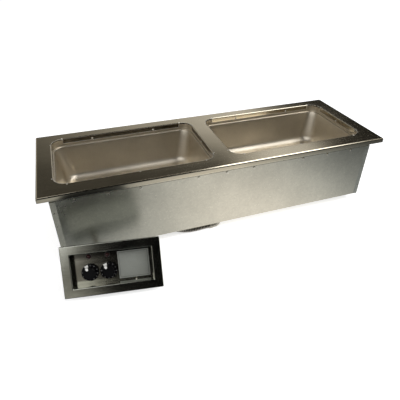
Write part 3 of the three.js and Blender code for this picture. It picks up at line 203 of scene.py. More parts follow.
def primitive(name: str, add: Callable[..., object], **settings: object) -> Piece:
    """Adds a primitive with nothing else selected, names it and settles it.

    Args:
        name: the piece's name.
        add: the operator that adds the primitive.
        settings: the operator's own settings.

    Returns:
        The new object.
    """
    deselect_all()
    add(**settings)
    piece = bpy.context.object
    piece.name = name
    piece.data.name = name
    settle(piece)
    return piece


def coat(piece: Piece, finish: "Finish") -> None:
    """Gives a piece or a CAD node one material and leaves its shape alone."""
    piece.data.materials.clear()
    piece.data.materials.append(finish.material())


def dress(piece: Piece, finish: "Finish", body: Body = Body.HOUSING) -> None:
    """Gives a finished piece its material and the body that it rides on.

    Args:
        piece: the object to dress.
        finish: the finish that it gets.
        body: the body that it rides on.
    """
    coat(piece, finish)
    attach(piece, body.value)
    LOG.info("dressed %s", piece.name)


def refined_copy(node: str, finish: "Finish", bevel: float = 0.0, body: Body = Body.HOUSING) -> Piece:
    """Makes a merged and smoothly shaded copy of a CAD node that stands for it.

    Args:
        node: the CAD node's name.
        finish: the finish of the copy.
        bevel: width of the rounding of its sharp edges, or 0 for none.
        body: the body that it rides on.

    Returns:
        The new piece.
    """
    deselect_all()
    piece = linked(f"{node}_finished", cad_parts[node].data.copy())
    with Editing(piece):
        bpy.ops.mesh.remove_doubles(threshold=CAD_MERGE_DISTANCE)
        bpy.ops.mesh.dissolve_limited(angle_limit=FLAT)
    bpy.ops.mesh.customdata_custom_splitnormals_clear()
    if bevel > 0:
        apply_modifier(
            piece, "BEVEL", width=bevel, segments=2, limit_method="ANGLE", angle_limit=math.radians(30),
            harden_normals=False,
        )
    smooth(piece)
    apply_modifier(piece, "WEIGHTED_NORMAL", mode="FACE_AREA", weight=50, keep_sharp=True)
    dress(piece, finish, body)
    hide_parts(node)
    return piece


# Node trees and shared effects

HAZE = 0.15
STREAKS = 0.12
STREAK_TONE = 0.06
ETCHING = 0.03
RELIEF = 0.05 * MM
NOISE_REACH: Pair = (0.3, 0.7)
UNIT: Pair = (0.0, 1.0)
BLACK: Colour = (0.0, 0.0, 0.0)
WHITE: Colour = (1.0, 1.0, 1.0)


def opaque(colour: Colour, factor: float = 1.0) -> tuple[float, ...]:
    """Makes a colour lighter or darker by a factor and gives it full alpha."""
    return (*(channel * factor for channel in colour), 1.0)


class Ramp(NamedTuple):
    """Change of a value between two limits, with soft ends unless it is straight."""

    start: float
    end: float
    low: float = 0.0
    high: float = 1.0
    straight: bool = False


class Tree:
    """Builds a node tree by short calls, whose inputs are values or output sockets."""

    def __init__(self, tree: bpy.types.NodeTree) -> None:
        """Keeps the tree that nodes are added to."""
        self.tree = tree

    def fill(self, node: Node, inputs: dict[str | int, object]) -> None:
        """Sets inputs of a node, or links them to output sockets.

        Args:
            node: the node that has the inputs.
            inputs: a value or an output socket for each, by name or number.
        """
        for key, value in inputs.items():
            if isinstance(value, Socket):
                self.tree.links.new(value, node.inputs[key])
            else:
                node.inputs[key].default_value = value

    def add(self, kind: str, inputs: dict[str | int, object] | None = None, **settings: object) -> Sockets:
        """Adds a node.

        Args:
            kind: the node's type, without the prefix ShaderNode.
            inputs: a value or an output socket for each input, by name or number.
            settings: values of the node's own properties.

        Returns:
            The node's outputs.
        """
        node = self.tree.nodes.new(f"ShaderNode{kind}")
        for name, value in settings.items():
            setattr(node, name, value)
        self.fill(node, inputs or {})
        return node.outputs

    def math(self, operation: str, first: object, *others: object) -> Socket:
        """Joins values in order by one operation, or puts a lone value through it.

        Args:
            operation: the Math node's operation.
            first: the first value.
            others: the values that it is joined with.

        Returns:
            The result.
        """
        for other in others or (0.0,):
            first = self.add("Math", {0: first, 1: other}, operation=operation)[0]
        return first

    def total(self, *terms: object) -> Socket:
        """Adds two or more numbers."""
        return self.math("ADD", *terms)

    def product(self, *factors: object) -> Socket:
        """Multiplies two or more numbers."""
        return self.math("MULTIPLY", *factors)

    def blend(self, share: object, first: object, second: object) -> Socket:
        """Mixes two numbers."""
        return self.add("Mix", {0: share, 2: first, 3: second})[0]

    def mix(self, share: object, first: object, second: object, blend: str = "MIX") -> Socket:
        """Mixes two colours."""
        return self.add("Mix", {0: share, 6: first, 7: second}, data_type="RGBA", blend_type=blend)[2]

    def toned(self, colour: object, tone: object) -> Socket:
        """Multiplies a colour by a tone."""
        return self.mix(1.0, colour, tone, "MULTIPLY")

    def ramp(self, value: object, ramp: Ramp) -> Socket:
        """Puts a value through a ramp."""
        inputs = dict(enumerate((value, ramp.start, ramp.end, ramp.low, ramp.high)))
        return self.add("MapRange", inputs, interpolation_type="LINEAR" if ramp.straight else "SMOOTHSTEP")[0]

    def gate(self, *ramps: tuple[object, Ramp]) -> Socket:
        """Multiplies two or more ramps, each given with its value."""
        return self.product(*(self.ramp(value, ramp) for value, ramp in ramps))

    def spread(self, value: object, low: float = 0.0, high: float = 1.0, reach: Pair = NOISE_REACH) -> Socket:
        """Stretches the reach of a value, by default a noise's, to two limits."""
        return self.ramp(value, Ramp(*reach, low, high, straight=True))

    def vary(self, value: object, share: float, reach: Pair = NOISE_REACH) -> Socket:
        """Stretches the reach of a value to a share below and above 1."""
        return self.spread(value, 1 - share, 1 + share, reach)

    def parts(self, vector: object) -> Sockets:
        """Splits a vector into X, Y and Z."""
        return self.add("SeparateXYZ", {"Vector": vector})

    def noise(
        self, vector: object, scale: object, detail: float = 2, rough: float = 0.5, distortion: float = 0,
    ) -> Socket:
        """Adds a noise texture."""
        inputs = {"Scale": scale, "Detail": detail, "Roughness": rough, "Distortion": distortion}
        return self.add("TexNoise", {"Vector": vector, **inputs})["Fac"]

    def cells(self, vector: object, scale: object) -> Sockets:
        """Adds a texture of cells."""
        return self.add("TexVoronoi", {"Vector": vector, "Scale": scale})

    def stretched(self, vector: object, factors: Point, turn: Point = (0.0, 0.0, 0.0)) -> Socket:
        """Lays a pattern along turned axes and squeezes it by a factor along each."""
        inputs = {"Vector": vector, "Rotation": turn, "Scale": [1 / factor for factor in factors]}
        return self.add("Mapping", inputs, vector_type="TEXTURE")[0]

    def bump(self, height: object, strength: float, distance: float = RELIEF) -> Socket:
        """Turns a height into a bumped normal."""
        return self.add("Bump", {"Height": height, "Strength": strength, "Distance": distance})["Normal"]


def new_group(name: str, inputs: Sequence[str], outputs: Sequence[str]) -> tuple[Tree, Sockets, Node]:
    """Starts a node group, where Vector is a vector and every other socket a number.

    Args:
        name: the group's name.
        inputs: its inputs' names.
        outputs: its outputs' names.

    Returns:
        A builder for its nodes, what its inputs give and the node that its outputs take.
    """
    group = bpy.data.node_groups.new(name, "ShaderNodeTree")
    for way, labels in (("INPUT", inputs), ("OUTPUT", outputs)):
        for label in labels:
            kind = "NodeSocketVector" if label == "Vector" else "NodeSocketFloat"
            group.interface.new_socket(label, in_out=way, socket_type=kind)
    return Tree(group), group.nodes.new("NodeGroupInput").outputs, group.nodes.new("NodeGroupOutput")


class Effects:
    """Shared effects, each a node group that is built once."""

    speck_scale: float = 900.0
    grain_scales: Pair = (420, 2600)
    coarse_share: float = 0.4
    haze_scale: float = 0.35
    edge_reach: Pair = (0.995, 0.86)
    speck_reach: Pair = (0.985, 0.995)

    def __init__(self) -> None:
        """Builds the groups."""
        self.grain = self._grain()
        self.blotches = self._blotches()
        self.edge_wear = self._edge_wear()
        self.spangle = self._spangle()

    def _grain(self) -> bpy.types.NodeTree:
        """Fine scratches whose direction comes from how the vector is stretched.

        Returns:
            The group.
        """
        tree, given, end = new_group("fine_grain", ["Vector"], ["Height", "Streaks"])
        coarse = tree.noise(given["Vector"], self.grain_scales[0], 2, 0.6)
        fine = tree.noise(given["Vector"], self.grain_scales[1], 3, 0.6)
        height = tree.total(tree.product(coarse, self.coarse_share), fine)
        tree.fill(end, {"Height": height, "Streaks": coarse})
        return tree.tree

    def _blotches(self) -> bpy.types.NodeTree:
        """Slow changes of tone, such as handling marks and haze.

        Returns:
            The group.
        """
        tree, given, end = new_group("soft_blotches", ["Vector", "Scale"], ["Tone", "Haze"])
        tone = tree.noise(given["Vector"], given["Scale"], 4, 0.55)
        haze = tree.noise(given["Vector"], tree.product(given["Scale"], self.haze_scale), distortion=0.6)
        tree.fill(end, {"Tone": tone, "Haze": haze})
        return tree.tree

    def _edge_wear(self) -> bpy.types.NodeTree:
        """Mask that is 1 on worn edges and 0 on flat faces, broken up by noise.

        Returns:
            The group.
        """
        tree, given, end = new_group("edge_wear", ["Vector", "Width"], ["Mask"])
        rounded = tree.add("Bevel", {"Radius": given["Width"]}, samples=4)["Normal"]
        flat = tree.add("NewGeometry")["Normal"]
        likeness = tree.add("VectorMath", {0: rounded, 1: flat}, operation="DOT_PRODUCT")["Value"]
        edge = tree.spread(likeness, reach=self.edge_reach)
        breaks = tree.spread(tree.noise(given["Vector"], 180, 3), 0.3, 1.0, (0.35, 0.6))
        tree.fill(end, {"Mask": tree.product(edge, breaks)})
        return tree.tree

    def _spangle(self) -> bpy.types.NodeTree:
        """Crystal cells of a galvanised sheet, small and faint, with rare bright ones.

        Returns:
            The group.
        """
        tree, given, end = new_group("zinc_spangle", ["Vector", "Scale"], ["Cells", "Specks"])
        wide, small = (
            tree.add("SeparateColor", {"Color": tree.cells(given["Vector"], scale)["Color"]})
            for scale in (given["Scale"], self.speck_scale)
        )
        tree.fill(end, {"Cells": wide[0], "Specks": tree.spread(small[1], reach=self.speck_reach)})
        return tree.tree


EFFECTS = Effects()


class Surface(Tree):
    """Builds the nodes of a new material round its shader."""

    def __init__(self, name: str) -> None:
        """Starts the material.

        Args:
            name: the material's name.
        """
        self.material = bpy.data.materials.new(name)
        self.material.use_nodes = True
        super().__init__(self.material.node_tree)
        self.shader = self.tree.nodes["Principled BSDF"]
        self.place = self.add("TexCoord")["Object"]

    def effect(self, group: bpy.types.NodeTree, **inputs: object) -> Sockets:
        """Adds a shared effect, read at the place on the piece unless a Vector is given."""
        return self.add("Group", {"Vector": self.place, **inputs}, node_tree=group)

    def worn(self, width: float) -> Socket:
        """Adds a mask of the edges that are worn over a width."""
        return self.effect(EFFECTS.edge_wear, Width=width)["Mask"]

    def colour(self) -> Socket:
        """Gives what feeds the shader's base colour so far."""
        return self.shader.inputs["Base Color"].links[0].from_socket


# Finishes


@dataclass(frozen=True)
class Finish:
    """A finish whose material is built the first time that it is asked for."""

    name: str
    slot: str
    base: Colour

    def material(self) -> bpy.types.Material:
        """Gives the finish's material.

        Returns:
            The material, built the first time and kept.
        """
        if self.name not in bpy.data.materials:
            self.build(Surface(self.name))
        return bpy.data.materials[self.name]

    def build(self, tree: Surface) -> None:
        """Adds the finish's own nodes."""
        raise NotImplementedError

    def tint(self, factor: float) -> tuple[float, ...]:
        """Makes the finish's colour lighter or darker, up to full white."""
        return tuple(min(1.0, channel) for channel in opaque(self.base, factor))

    def tones(self, tree: Surface, share: Socket, limits: Pair) -> Socket:
        """Mixes a darker and a lighter tint."""
        return tree.mix(share, self.tint(limits[0]), self.tint(limits[1]))


@dataclass(frozen=True)
class SheetMetal(Finish):
    """Bare sheet steel with a grain, soft blotches and worn edges."""

    roughness: float
    grain: Grain = Grain.ALL_WAYS
    grain_turn: Point = (0.0, 0.0, 0.0)
    grain_depth: float = 0.07
    blotch_scale: float = 9.0
    blotch_strength: float = 0.12
    wear_width: float = 0.8 * MM
    wear_gain: float = 1.5
    metal: float = 1.0
    worn_metal: float | None = None

    def build(self, tree: Surface) -> None:
        """Adds grain, blotches and worn edges.

        Args:
            tree: the material's builder.
        """
        along_grain = tree.stretched(tree.place, self.grain.value, self.grain_turn)
        grain = tree.effect(EFFECTS.grain, Vector=along_grain)
        blotches = tree.effect(EFFECTS.blotches, Scale=self.blotch_scale)
        worn = tree.worn(self.wear_width)
        limits = (1 - self.blotch_strength, 1 + self.blotch_strength)
        colour = self.tones(tree, tree.spread(blotches["Tone"]), limits)
        colour = tree.toned(colour, tree.vary(grain["Streaks"], STREAK_TONE))
        haze = tree.vary(blotches["Haze"], HAZE)
        tree.fill(tree.shader, {
            "Base Color": tree.mix(worn, colour, self.tint(self.wear_gain)),
            "Roughness": tree.product(self.roughness, haze, tree.vary(grain["Streaks"], STREAKS)),
            "Normal": tree.bump(grain["Height"], self.grain_depth),
            "Metallic": self.metal,
        })
        if self.worn_metal is not None:
            tree.fill(tree.shader, {"Metallic": tree.spread(worn, self.metal, self.worn_metal, UNIT)})


@dataclass(frozen=True)
class PlateSteel(SheetMetal):
    """Brushed plate with painted shade on the opening flanges of the left well, a painted reflection on those
    of the right well, and a painted highlight along their rims.
    """

    flange_top: Ramp = Ramp(12 * MM, 15 * MM, 1.0, 0.0)
    flange_reach: Ramp = Ramp(0.165, 0.17, 1.0, 0.0)
    dulling: Ramp = Ramp(-0.02, 0.02, 0.22, 1.4)
    far_end: Ramp = Ramp(0.25, 0.5, 1.0, 0.5)
    rim_length: Ramp = Ramp(0.542, 0.546, 1.0, 0.0)
    rim_width: float = 2.5 * MM
    rim_reach: Pair = (0.0, 0.35)
    rim_metal: float = 0.35
    rim_colour: Colour = (0.92, 0.88, 0.78)

    def build(self, tree: Surface) -> None:
        """Adds the sheet's own nodes, then the painted shade and reflection on the flanges and the painted
        highlight on their rims.

        Args:
            tree: the material's builder.
        """
        super().build(tree)
        place = tree.parts(tree.place)
        near = tree.ramp(tree.math("ABSOLUTE", place["Y"]), self.flange_reach)
        on_flange = tree.product(tree.ramp(place["Z"], self.flange_top), near)
        # Painted shade on the left well's flanges and a painted reflection on the right well's, fading
        # towards the plate's right end.
        tone = tree.gate((place["X"], self.dulling), (place["X"], self.far_end))
        colour = tree.toned(tree.colour(), tree.blend(on_flange, 1.0, tone))
        # Painted highlight: a pale, less metallic line on the rounded rims of the openings.
        between = tree.ramp(tree.math("ABSOLUTE", place["X"]), self.rim_length)
        rim = tree.product(tree.spread(tree.worn(self.rim_width), reach=self.rim_reach), near, between)
        tree.fill(tree.shader, {
            "Base Color": tree.mix(rim, colour, opaque(self.rim_colour)),
            "Metallic": tree.spread(rim, self.metal, self.rim_metal, UNIT),
        })


@dataclass(frozen=True)
class RecessedSteel(SheetMetal):
    """Brushed steel at the back of a recess, with painted shade under the recess's upper wall."""

    foot_of_axis: float = -0.34649
    dulling: Ramp = Ramp(20 * MM, 36 * MM, 1.0, 0.28)

    def build(self, tree: Surface) -> None:
        """Adds the sheet's own nodes, then the painted shade on the upper part.

        Args:
            tree: the material's builder.
        """
        super().build(tree)
        along_panel = tree.parts(tree.stretched(tree.place, (1.0, 1.0, 1.0), self.grain_turn))
        height = tree.math("SUBTRACT", along_panel["Y"], self.foot_of_axis)
        # Painted shade: darker towards the top, where the recess's upper wall shades the plate.
        tree.fill(tree.shader, {"Base Color": tree.toned(tree.colour(), tree.ramp(height, self.dulling))})


@dataclass(frozen=True)
class GalvanisedSheet(Finish):
    """Galvanised sheet with faint spangle, bright specks, haze and worn edges."""

    roughness: float
    metal: float = 1.0
    tone_limits: Pair = (0.9, 1.08)
    blotch_scale: float = 7.0
    spangle_scale: float = 150.0
    spangle_strength: float = 0.045
    speck_gain: float = 1.5
    wear_width: float = 0.8 * MM
    wear_gain: float = 1.25
    grit_scale: float = 900
    grit_depth: float = 0.025

    def build(self, tree: Surface) -> None:
        """Adds spangle, haze and worn edges.

        Args:
            tree: the material's builder.
        """
        spangle = tree.effect(EFFECTS.spangle, Scale=self.spangle_scale)
        blotches = tree.effect(EFFECTS.blotches, Scale=self.blotch_scale)
        colour = self.tones(tree, tree.spread(blotches["Tone"]), self.tone_limits)
        colour = tree.toned(colour, tree.vary(spangle["Cells"], self.spangle_strength, UNIT))
        colour = tree.mix(spangle["Specks"], colour, self.tint(self.speck_gain))
        haze = tree.vary(blotches["Haze"], HAZE / 2)
        tree.fill(tree.shader, {
            "Base Color": tree.mix(tree.worn(self.wear_width), colour, self.tint(self.wear_gain)),
            "Roughness": tree.product(self.roughness, haze, tree.vary(spangle["Cells"], ETCHING, UNIT)),
            "Normal": tree.bump(tree.noise(tree.place, self.grit_scale, 3), self.grit_depth),
            "Metallic": self.metal,
        })


@dataclass(frozen=True)
class Plastic(Finish):
    """Moulded plastic with a fine texture, dust in its tone and rubbed edges."""

    roughness: float
    specular: float = 0.5
    tone_limits: Pair = (0.85, 1.15)
    polish: float = 0.05
    dust: float = 0.08
    blotch_scale: float = 40.0
    texture_scale: float = 1500.0
    texture_depth: float = 0.12
    texture_height: float = 0.04 * MM
    wear_width: float = 0.4 * MM
    wear_gain: float = 2.5

    def build(self, tree: Surface) -> None:
        """Adds moulded texture, tone and rubbed edges.

        Args:
            tree: the material's builder.
        """
        blotches = tree.effect(EFFECTS.blotches, Scale=self.blotch_scale)
        colour = self.tones(tree, tree.spread(blotches["Tone"]), self.tone_limits)
        rough = tree.spread(blotches["Haze"], self.roughness - self.polish, self.roughness + self.dust)
        texture = tree.noise(tree.place, self.texture_scale, 3)
        tree.fill(tree.shader, {
            "Base Color": tree.mix(tree.worn(self.wear_width), colour, self.tint(self.wear_gain)),
            "Roughness": rough,
            "Normal": tree.bump(texture, self.texture_depth, self.texture_height),
            "Specular IOR Level": self.specular,
        })


@dataclass(frozen=True)
class Fibre(Finish):
    """Glass-fibre batt: matted fibres in two tones."""

    tone_limits: Pair = (0.75, 1.15)
    tone_reach: Pair = (0.7, 1.3)
    lie: Point = (0.3, 1.0, 2.0)
    depth: float = 0.6 * MM

    def build(self, tree: Surface) -> None:
        """Adds fibres and clumps.

        Args:
            tree: the material's builder.
        """
        fibres = tree.noise(tree.stretched(tree.place, self.lie), 700, 4, 0.7)
        clumps = tree.noise(tree.place, 40, 3)
        share = tree.spread(tree.total(fibres, clumps), reach=self.tone_reach)
        tree.fill(tree.shader, {
            "Base Color": self.tones(tree, share, self.tone_limits),
            "Roughness": tree.spread(clumps, 0.85, 1.0),
            "Normal": tree.bump(fibres, 0.8, self.depth),
        })


@dataclass(frozen=True)
class RedLens(Finish):
    """Unlit red lamp lens: deep colour under a glossy skin."""

    facet_scale: float = 700.0
    facet_tone: float = 0.3
    facet_reach: Pair = (0.0, 0.6)
    coat: float = 0.12
    coat_roughness: float = 0.05

    def build(self, tree: Surface) -> None:
        """Adds the faceted depth behind the skin.

        Args:
            tree: the material's builder.
        """
        facets = tree.cells(tree.place, self.facet_scale)["Distance"]
        tree.fill(tree.shader, {
            "Base Color": tree.toned(self.tint(1.0), tree.vary(facets, self.facet_tone, self.facet_reach)),
            "Roughness": tree.spread(tree.noise(tree.place, 120), 0.12, 0.22),
            "Coat Weight": self.coat,
            "Coat Roughness": self.coat_roughness,
        })


@dataclass(frozen=True)
class PrintInk(Finish):
    """Print on plastic or metal, a little uneven."""

    tone_limits: Pair = (0.85, 1.05)

    def build(self, tree: Surface) -> None:
        """Adds uneven ink.

        Args:
            tree: the material's builder.
        """
        noise = tree.noise(tree.place, 900, 3)
        tree.fill(tree.shader, {
            "Base Color": self.tones(tree, tree.spread(noise), self.tone_limits),
            "Roughness": tree.spread(noise, 0.4, 0.55),
        })


PANEL_TURN: Point = (math.radians(60.8), 0.0, math.radians(-9))
BRUSHED = PlateSteel(
    "brushed_stainless_plate", "brushed_stainless", (0.65, 0.59, 0.465), 0.13, Grain.ALONG_X,
    grain_depth=0.015, blotch_strength=0.06, wear_gain=1.12,
)
BEZEL_STEEL = SheetMetal(
    "brushed_stainless_bezel", "brushed_stainless", (0.52, 0.53, 0.47), 0.13, Grain.ALONG_X, PANEL_TURN,
    grain_depth=0.02, blotch_scale=25.0,
)
PANEL_STEEL = RecessedSteel(
    "brushed_stainless_recess", "brushed_stainless", (0.55, 0.54, 0.47), 0.13, Grain.ALONG_X, PANEL_TURN,
    grain_depth=0.02, blotch_scale=25.0,
)
DRAWN = SheetMetal(
    "drawn_stainless_pan", "drawn_stainless", (0.635, 0.577, 0.477), 0.38, blotch_scale=14.0,
    blotch_strength=0.06, metal=0.97, wear_width=1.6 * MM, worn_metal=0.6,
)
ZINC = GalvanisedSheet("galvanised_housing_sheet", "galvanised_sheet", (0.62, 0.605, 0.525), 0.3)
# The end sheets are lit and shaded copies of the housing sheet: the left one lighter and less metallic as
# painted light, the right one darker as painted shade.
ZINC_ENDS = {
    "left": GalvanisedSheet("galvanised_left_end_painted_light", "galvanised_sheet", (0.66, 0.65, 0.56), 0.5, 0.8),
    "right": GalvanisedSheet(
        "galvanised_right_end_painted_shade", "galvanised_sheet", (0.42, 0.43, 0.39), 0.45, 0.85,
    ),
}
# Painted light: a lighter, smoother copy of the housing sheet that makes up for the shade under the plate's
# edge.
ZINC_RAIL = GalvanisedSheet("galvanised_rail_painted_light", "galvanised_sheet", (0.82, 0.79, 0.67), 0.2)
ZINC_BOX = GalvanisedSheet("dull_galvanised_box", "galvanised_sheet", (0.38, 0.4, 0.38), 0.6, 0.85)
SCREW_STEEL = SheetMetal("zinc_plated_screw", "zinc_plated_steel", (0.6, 0.59, 0.53), 0.2, blotch_scale=120.0)
RIVET_STEEL = SheetMetal(
    "stainless_rivet", "brushed_stainless", (0.75, 0.71, 0.62), 0.25, blotch_scale=150.0, metal=0.6,
)
SHEATH = SheetMetal("element_sheath_steel", "element_sheath", (0.2, 0.18, 0.16), 0.55, blotch_scale=60.0)
CONDUIT_STRIP = SheetMetal(
    "conduit_wound_strip", "conduit_strip", (0.33, 0.315, 0.285), 0.3, blotch_scale=80.0,
)
# Painted shade: a near-black copy of the conduit strip for the grooves between its ribs.
CONDUIT_GROOVE_SHADE = SheetMetal("conduit_groove_painted_shade", "conduit_strip", (0.02, 0.018, 0.016), 0.6, blotch_scale=80.0)
CAST = SheetMetal(
    "cast_zinc_fitting", "cast_zinc", (0.5, 0.49, 0.44), 0.5, grain_depth=0.3, blotch_scale=90.0,
)
BATT = Fibre("glass_fibre_batt", "fibre_batt", (0.8, 0.68, 0.32))
KNOB_BLACK = Plastic("knob_black_gloss", "black_plastic", (0.003, 0.003, 0.0035), 0.22, 0.16)
SWITCH_BLACK = Plastic("switch_black_matte", "switch_plastic", (0.03, 0.03, 0.03), 0.5)
LENS_RED = RedLens("lamp_lens_red", "red_lens", (0.02, 0.0025, 0.003))
LABEL = SheetMetal(
    "label_silver_foil", "silver_label", (0.25, 0.26, 0.235), 0.5, grain_depth=0.05, blotch_scale=30.0,
    blotch_strength=0.06, metal=0.25,
)
WHITE_INK = PrintInk("white_print", "black_plastic", (0.72, 0.72, 0.69))
GREY_INK = PrintInk("grey_print", "black_plastic", (0.3, 0.3, 0.29))
DARK_INK = PrintInk("dark_print", "silver_label", (0.05, 0.05, 0.05))


# Studio: camera, floor, lights


@dataclass
class Room:
    """What metal mirrors of the room, by azimuth from +Y and elevation in degrees."""

    base: float = 0.02
    dim_tint: Colour = (1.02, 0.96, 0.82)
    window_high: Ramp = Ramp(22.5, 32, 0.035, 0.72)
    window_low: Ramp = Ramp(-6, 24, 0.12, 0.66, straight=True)
    window_level: Ramp = Ramp(23.5, 30)
    window_edge: Ramp = Ramp(20, 27, 26, 40.5, straight=True)
    window_softness: Ramp = Ramp(-3, 3, 1.0, 0.0)
    left_window_near: Ramp = Ramp(-14, -9, 1.0, 0.0)
    left_window_far: Ramp = Ramp(-40, -30)
    left_window_foot: Ramp = Ramp(6, 14, 0.0, 0.35)
    left_window_top: Ramp = Ramp(36, 46, 1.0, 0.0)
    skylight_near: Ramp = Ramp(0.29, 0.36)
    skylight_far: Ramp = Ramp(0.55, 0.66, 1.0, 0.0)
    skylight_level: Ramp = Ramp(36, 47, 0.0, 3.4)
    front: Ramp = Ramp(75, 110)
    front_shift: Ramp = Ramp(11, 13, 1.4, 0.0)
    front_low: Ramp = Ramp(-163.8, -160, 0.006, 0.42)
    front_low_level: Ramp = Ramp(10.5, 13.5, 1.0, 0.32, straight=True)
    front_high: Ramp = Ramp(-161.5, -157, 0.0, 1.1)
    front_high_level: Ramp = Ramp(13.5, 17.5)
    front_right: Ramp = Ramp(100, 150, 0.25, 0.008)
    front_right_level: Ramp = Ramp(8, 20, 0.5, 1.3)

    def _back(self, tree: Tree, azimuth: Socket, elevation: Socket) -> Socket:
        """Builds the half behind the object: a wide window and one at its left.

        Args:
            tree: the world's builder.
            azimuth: the ray's azimuth.
            elevation: the ray's elevation.

        Returns:
            How bright that half is.
        """
        low, high = tree.ramp(azimuth, self.window_low), tree.ramp(azimuth, self.window_high)
        window = tree.blend(tree.ramp(elevation, self.window_level), low, high)
        past_edge = tree.math("SUBTRACT", azimuth, tree.ramp(elevation, self.window_edge))
        window = tree.product(window, tree.ramp(past_edge, self.window_softness))
        left_window = tree.gate(
            (azimuth, self.left_window_near), (azimuth, self.left_window_far),
            (elevation, self.left_window_foot), (elevation, self.left_window_top),
        )
        return tree.total(window, self.base, left_window)

    def _front(self, tree: Tree, azimuth: Socket, elevation: Socket) -> Socket:
        """Builds the half in front of the object, which is dim at the right.

        Args:
            tree: the world's builder.
            azimuth: the ray's azimuth.
            elevation: the ray's elevation.

        Returns:
            How bright that half is.
        """
        shifted = tree.total(azimuth, tree.ramp(elevation, self.front_shift))
        low = tree.gate((shifted, self.front_low), (elevation, self.front_low_level))
        high = tree.gate((azimuth, self.front_high), (elevation, self.front_high_level))
        right = tree.gate((azimuth, self.front_right), (elevation, self.front_right_level))
        return tree.blend(tree.math("GREATER_THAN", azimuth, 0.0), tree.total(low, high), right)

    def tone(self, tree: Tree, direction: Socket) -> Socket:
        """Builds the tone of the room in a direction.

        Args:
            tree: the world's builder.
            direction: where the ray goes.

        Returns:
            How bright the room is there.
        """
        parts = tree.parts(direction)
        azimuth = tree.product(tree.math("ARCTAN2", parts["X"], parts["Y"]), math.degrees(1))
        elevation = tree.product(tree.math("ARCSINE", parts["Z"]), math.degrees(1))
        in_front = tree.ramp(tree.math("ABSOLUTE", azimuth), self.front)
        halves = (self._back(tree, azimuth, elevation), self._front(tree, azimuth, elevation))
        skylight = tree.gate(
            (parts["X"], self.skylight_near), (parts["X"], self.skylight_far),
            (elevation, self.skylight_level),
        )
        return tree.total(tree.blend(in_front, *halves), skylight)


@dataclass
class FloorPool:
    """Pool of light on the floor that metal mirrors, fading away from the object."""

    middle: Pair = (0.12, -0.12)
    reach: Pair = (0.52, 0.93)
    rim: float = 0.06
    peak: float = 1.05
    shade_middle: Pair = (-0.46, -0.51)
    shade_reach: Pair = (0.17, 0.21)
    shade: Ramp = Ramp(0.5, 1.5, 0.3, 1.0)
    edge_shade_along: Ramp = Ramp(-0.31, -0.27, 0.85, 0.0)
    edge_shade_start: Ramp = Ramp(-0.585, -0.55)
    edge_glow: Ramp = Ramp(-0.585, -0.55, -2.0, 0.0)
    edge_shade_across: Ramp = Ramp(-0.61, -0.57, 1.0, 0.0)
    warm: Colour = (1.05, 1.0, 0.94)
    cool: Colour = (0.92, 1.0, 1.03)

    def tint(self, tree: Tree, tone: Socket) -> Socket:
        """Gives the pool's colour, warm where it is bright and cool where it is dim."""
        return tree.mix(tone, opaque(self.cool), opaque(self.warm))

    def tone(self, tree: Tree, place: Socket) -> Socket:
        """Builds the pool's tone at a place.

        Args:
            tree: the floor material's builder.
            place: the place on the floor.

        Returns:
            How bright the mirrored floor is there.
        """
        parts = tree.parts(place)
        distance = self._distance(tree, parts, self.middle, self.reach)
        fade = tree.math("EXPONENT", tree.product(distance, -1.0))
        pool = tree.total(tree.product(fade, self.peak - self.rim), self.rim)
        shade = tree.ramp(self._distance(tree, parts, self.shade_middle, self.shade_reach), self.shade)
        edge = tree.gate((parts["X"], self.edge_shade_along), (parts["X"], self.edge_shade_start))
        edge = tree.total(edge, tree.ramp(parts["X"], self.edge_glow))
        edge = tree.product(edge, tree.ramp(parts["Y"], self.edge_shade_across))
        return tree.product(pool, shade, tree.math("SUBTRACT", 1.0, edge))

    def _distance(self, tree: Tree, place: Sockets, middle: Pair, reach: Pair) -> Socket:
        """Measures the square of how far a place is from a middle, in shares of a reach.

        Args:
            tree: the floor material's builder.
            place: the place's X, Y and Z.
            middle: where the distance is 0.
            reach: how far 1 is along each axis.

        Returns:
            The square of the distance.
        """
        squares = []
        for axis, start, unit in zip("XY", middle, reach):
            share = tree.math("DIVIDE", tree.math("SUBTRACT", place[axis], start), unit)
            squares.append(tree.product(share, share))
        return tree.total(*squares)


@dataclass
class Lamp:
    """Soft rectangular lamp."""

    name: str
    place: Point
    size: Pair
    power: float
    target: Point = (0.0, 0.0, -0.05)

    def add(self) -> None:
        """Adds the lamp to the scene, turned to its target."""
        data = bpy.data.lights.new(self.name, "AREA")
        data.shape = "RECTANGLE"
        data.size, data.size_y = self.size
        data.energy = self.power
        lamp = linked(self.name, data)
        lamp.location = self.place
        direction = Vector(self.target) - Vector(self.place)
        lamp.rotation_euler = direction.to_track_quat("-Z", "Y").to_euler()
        lamp.visible_glossy = False


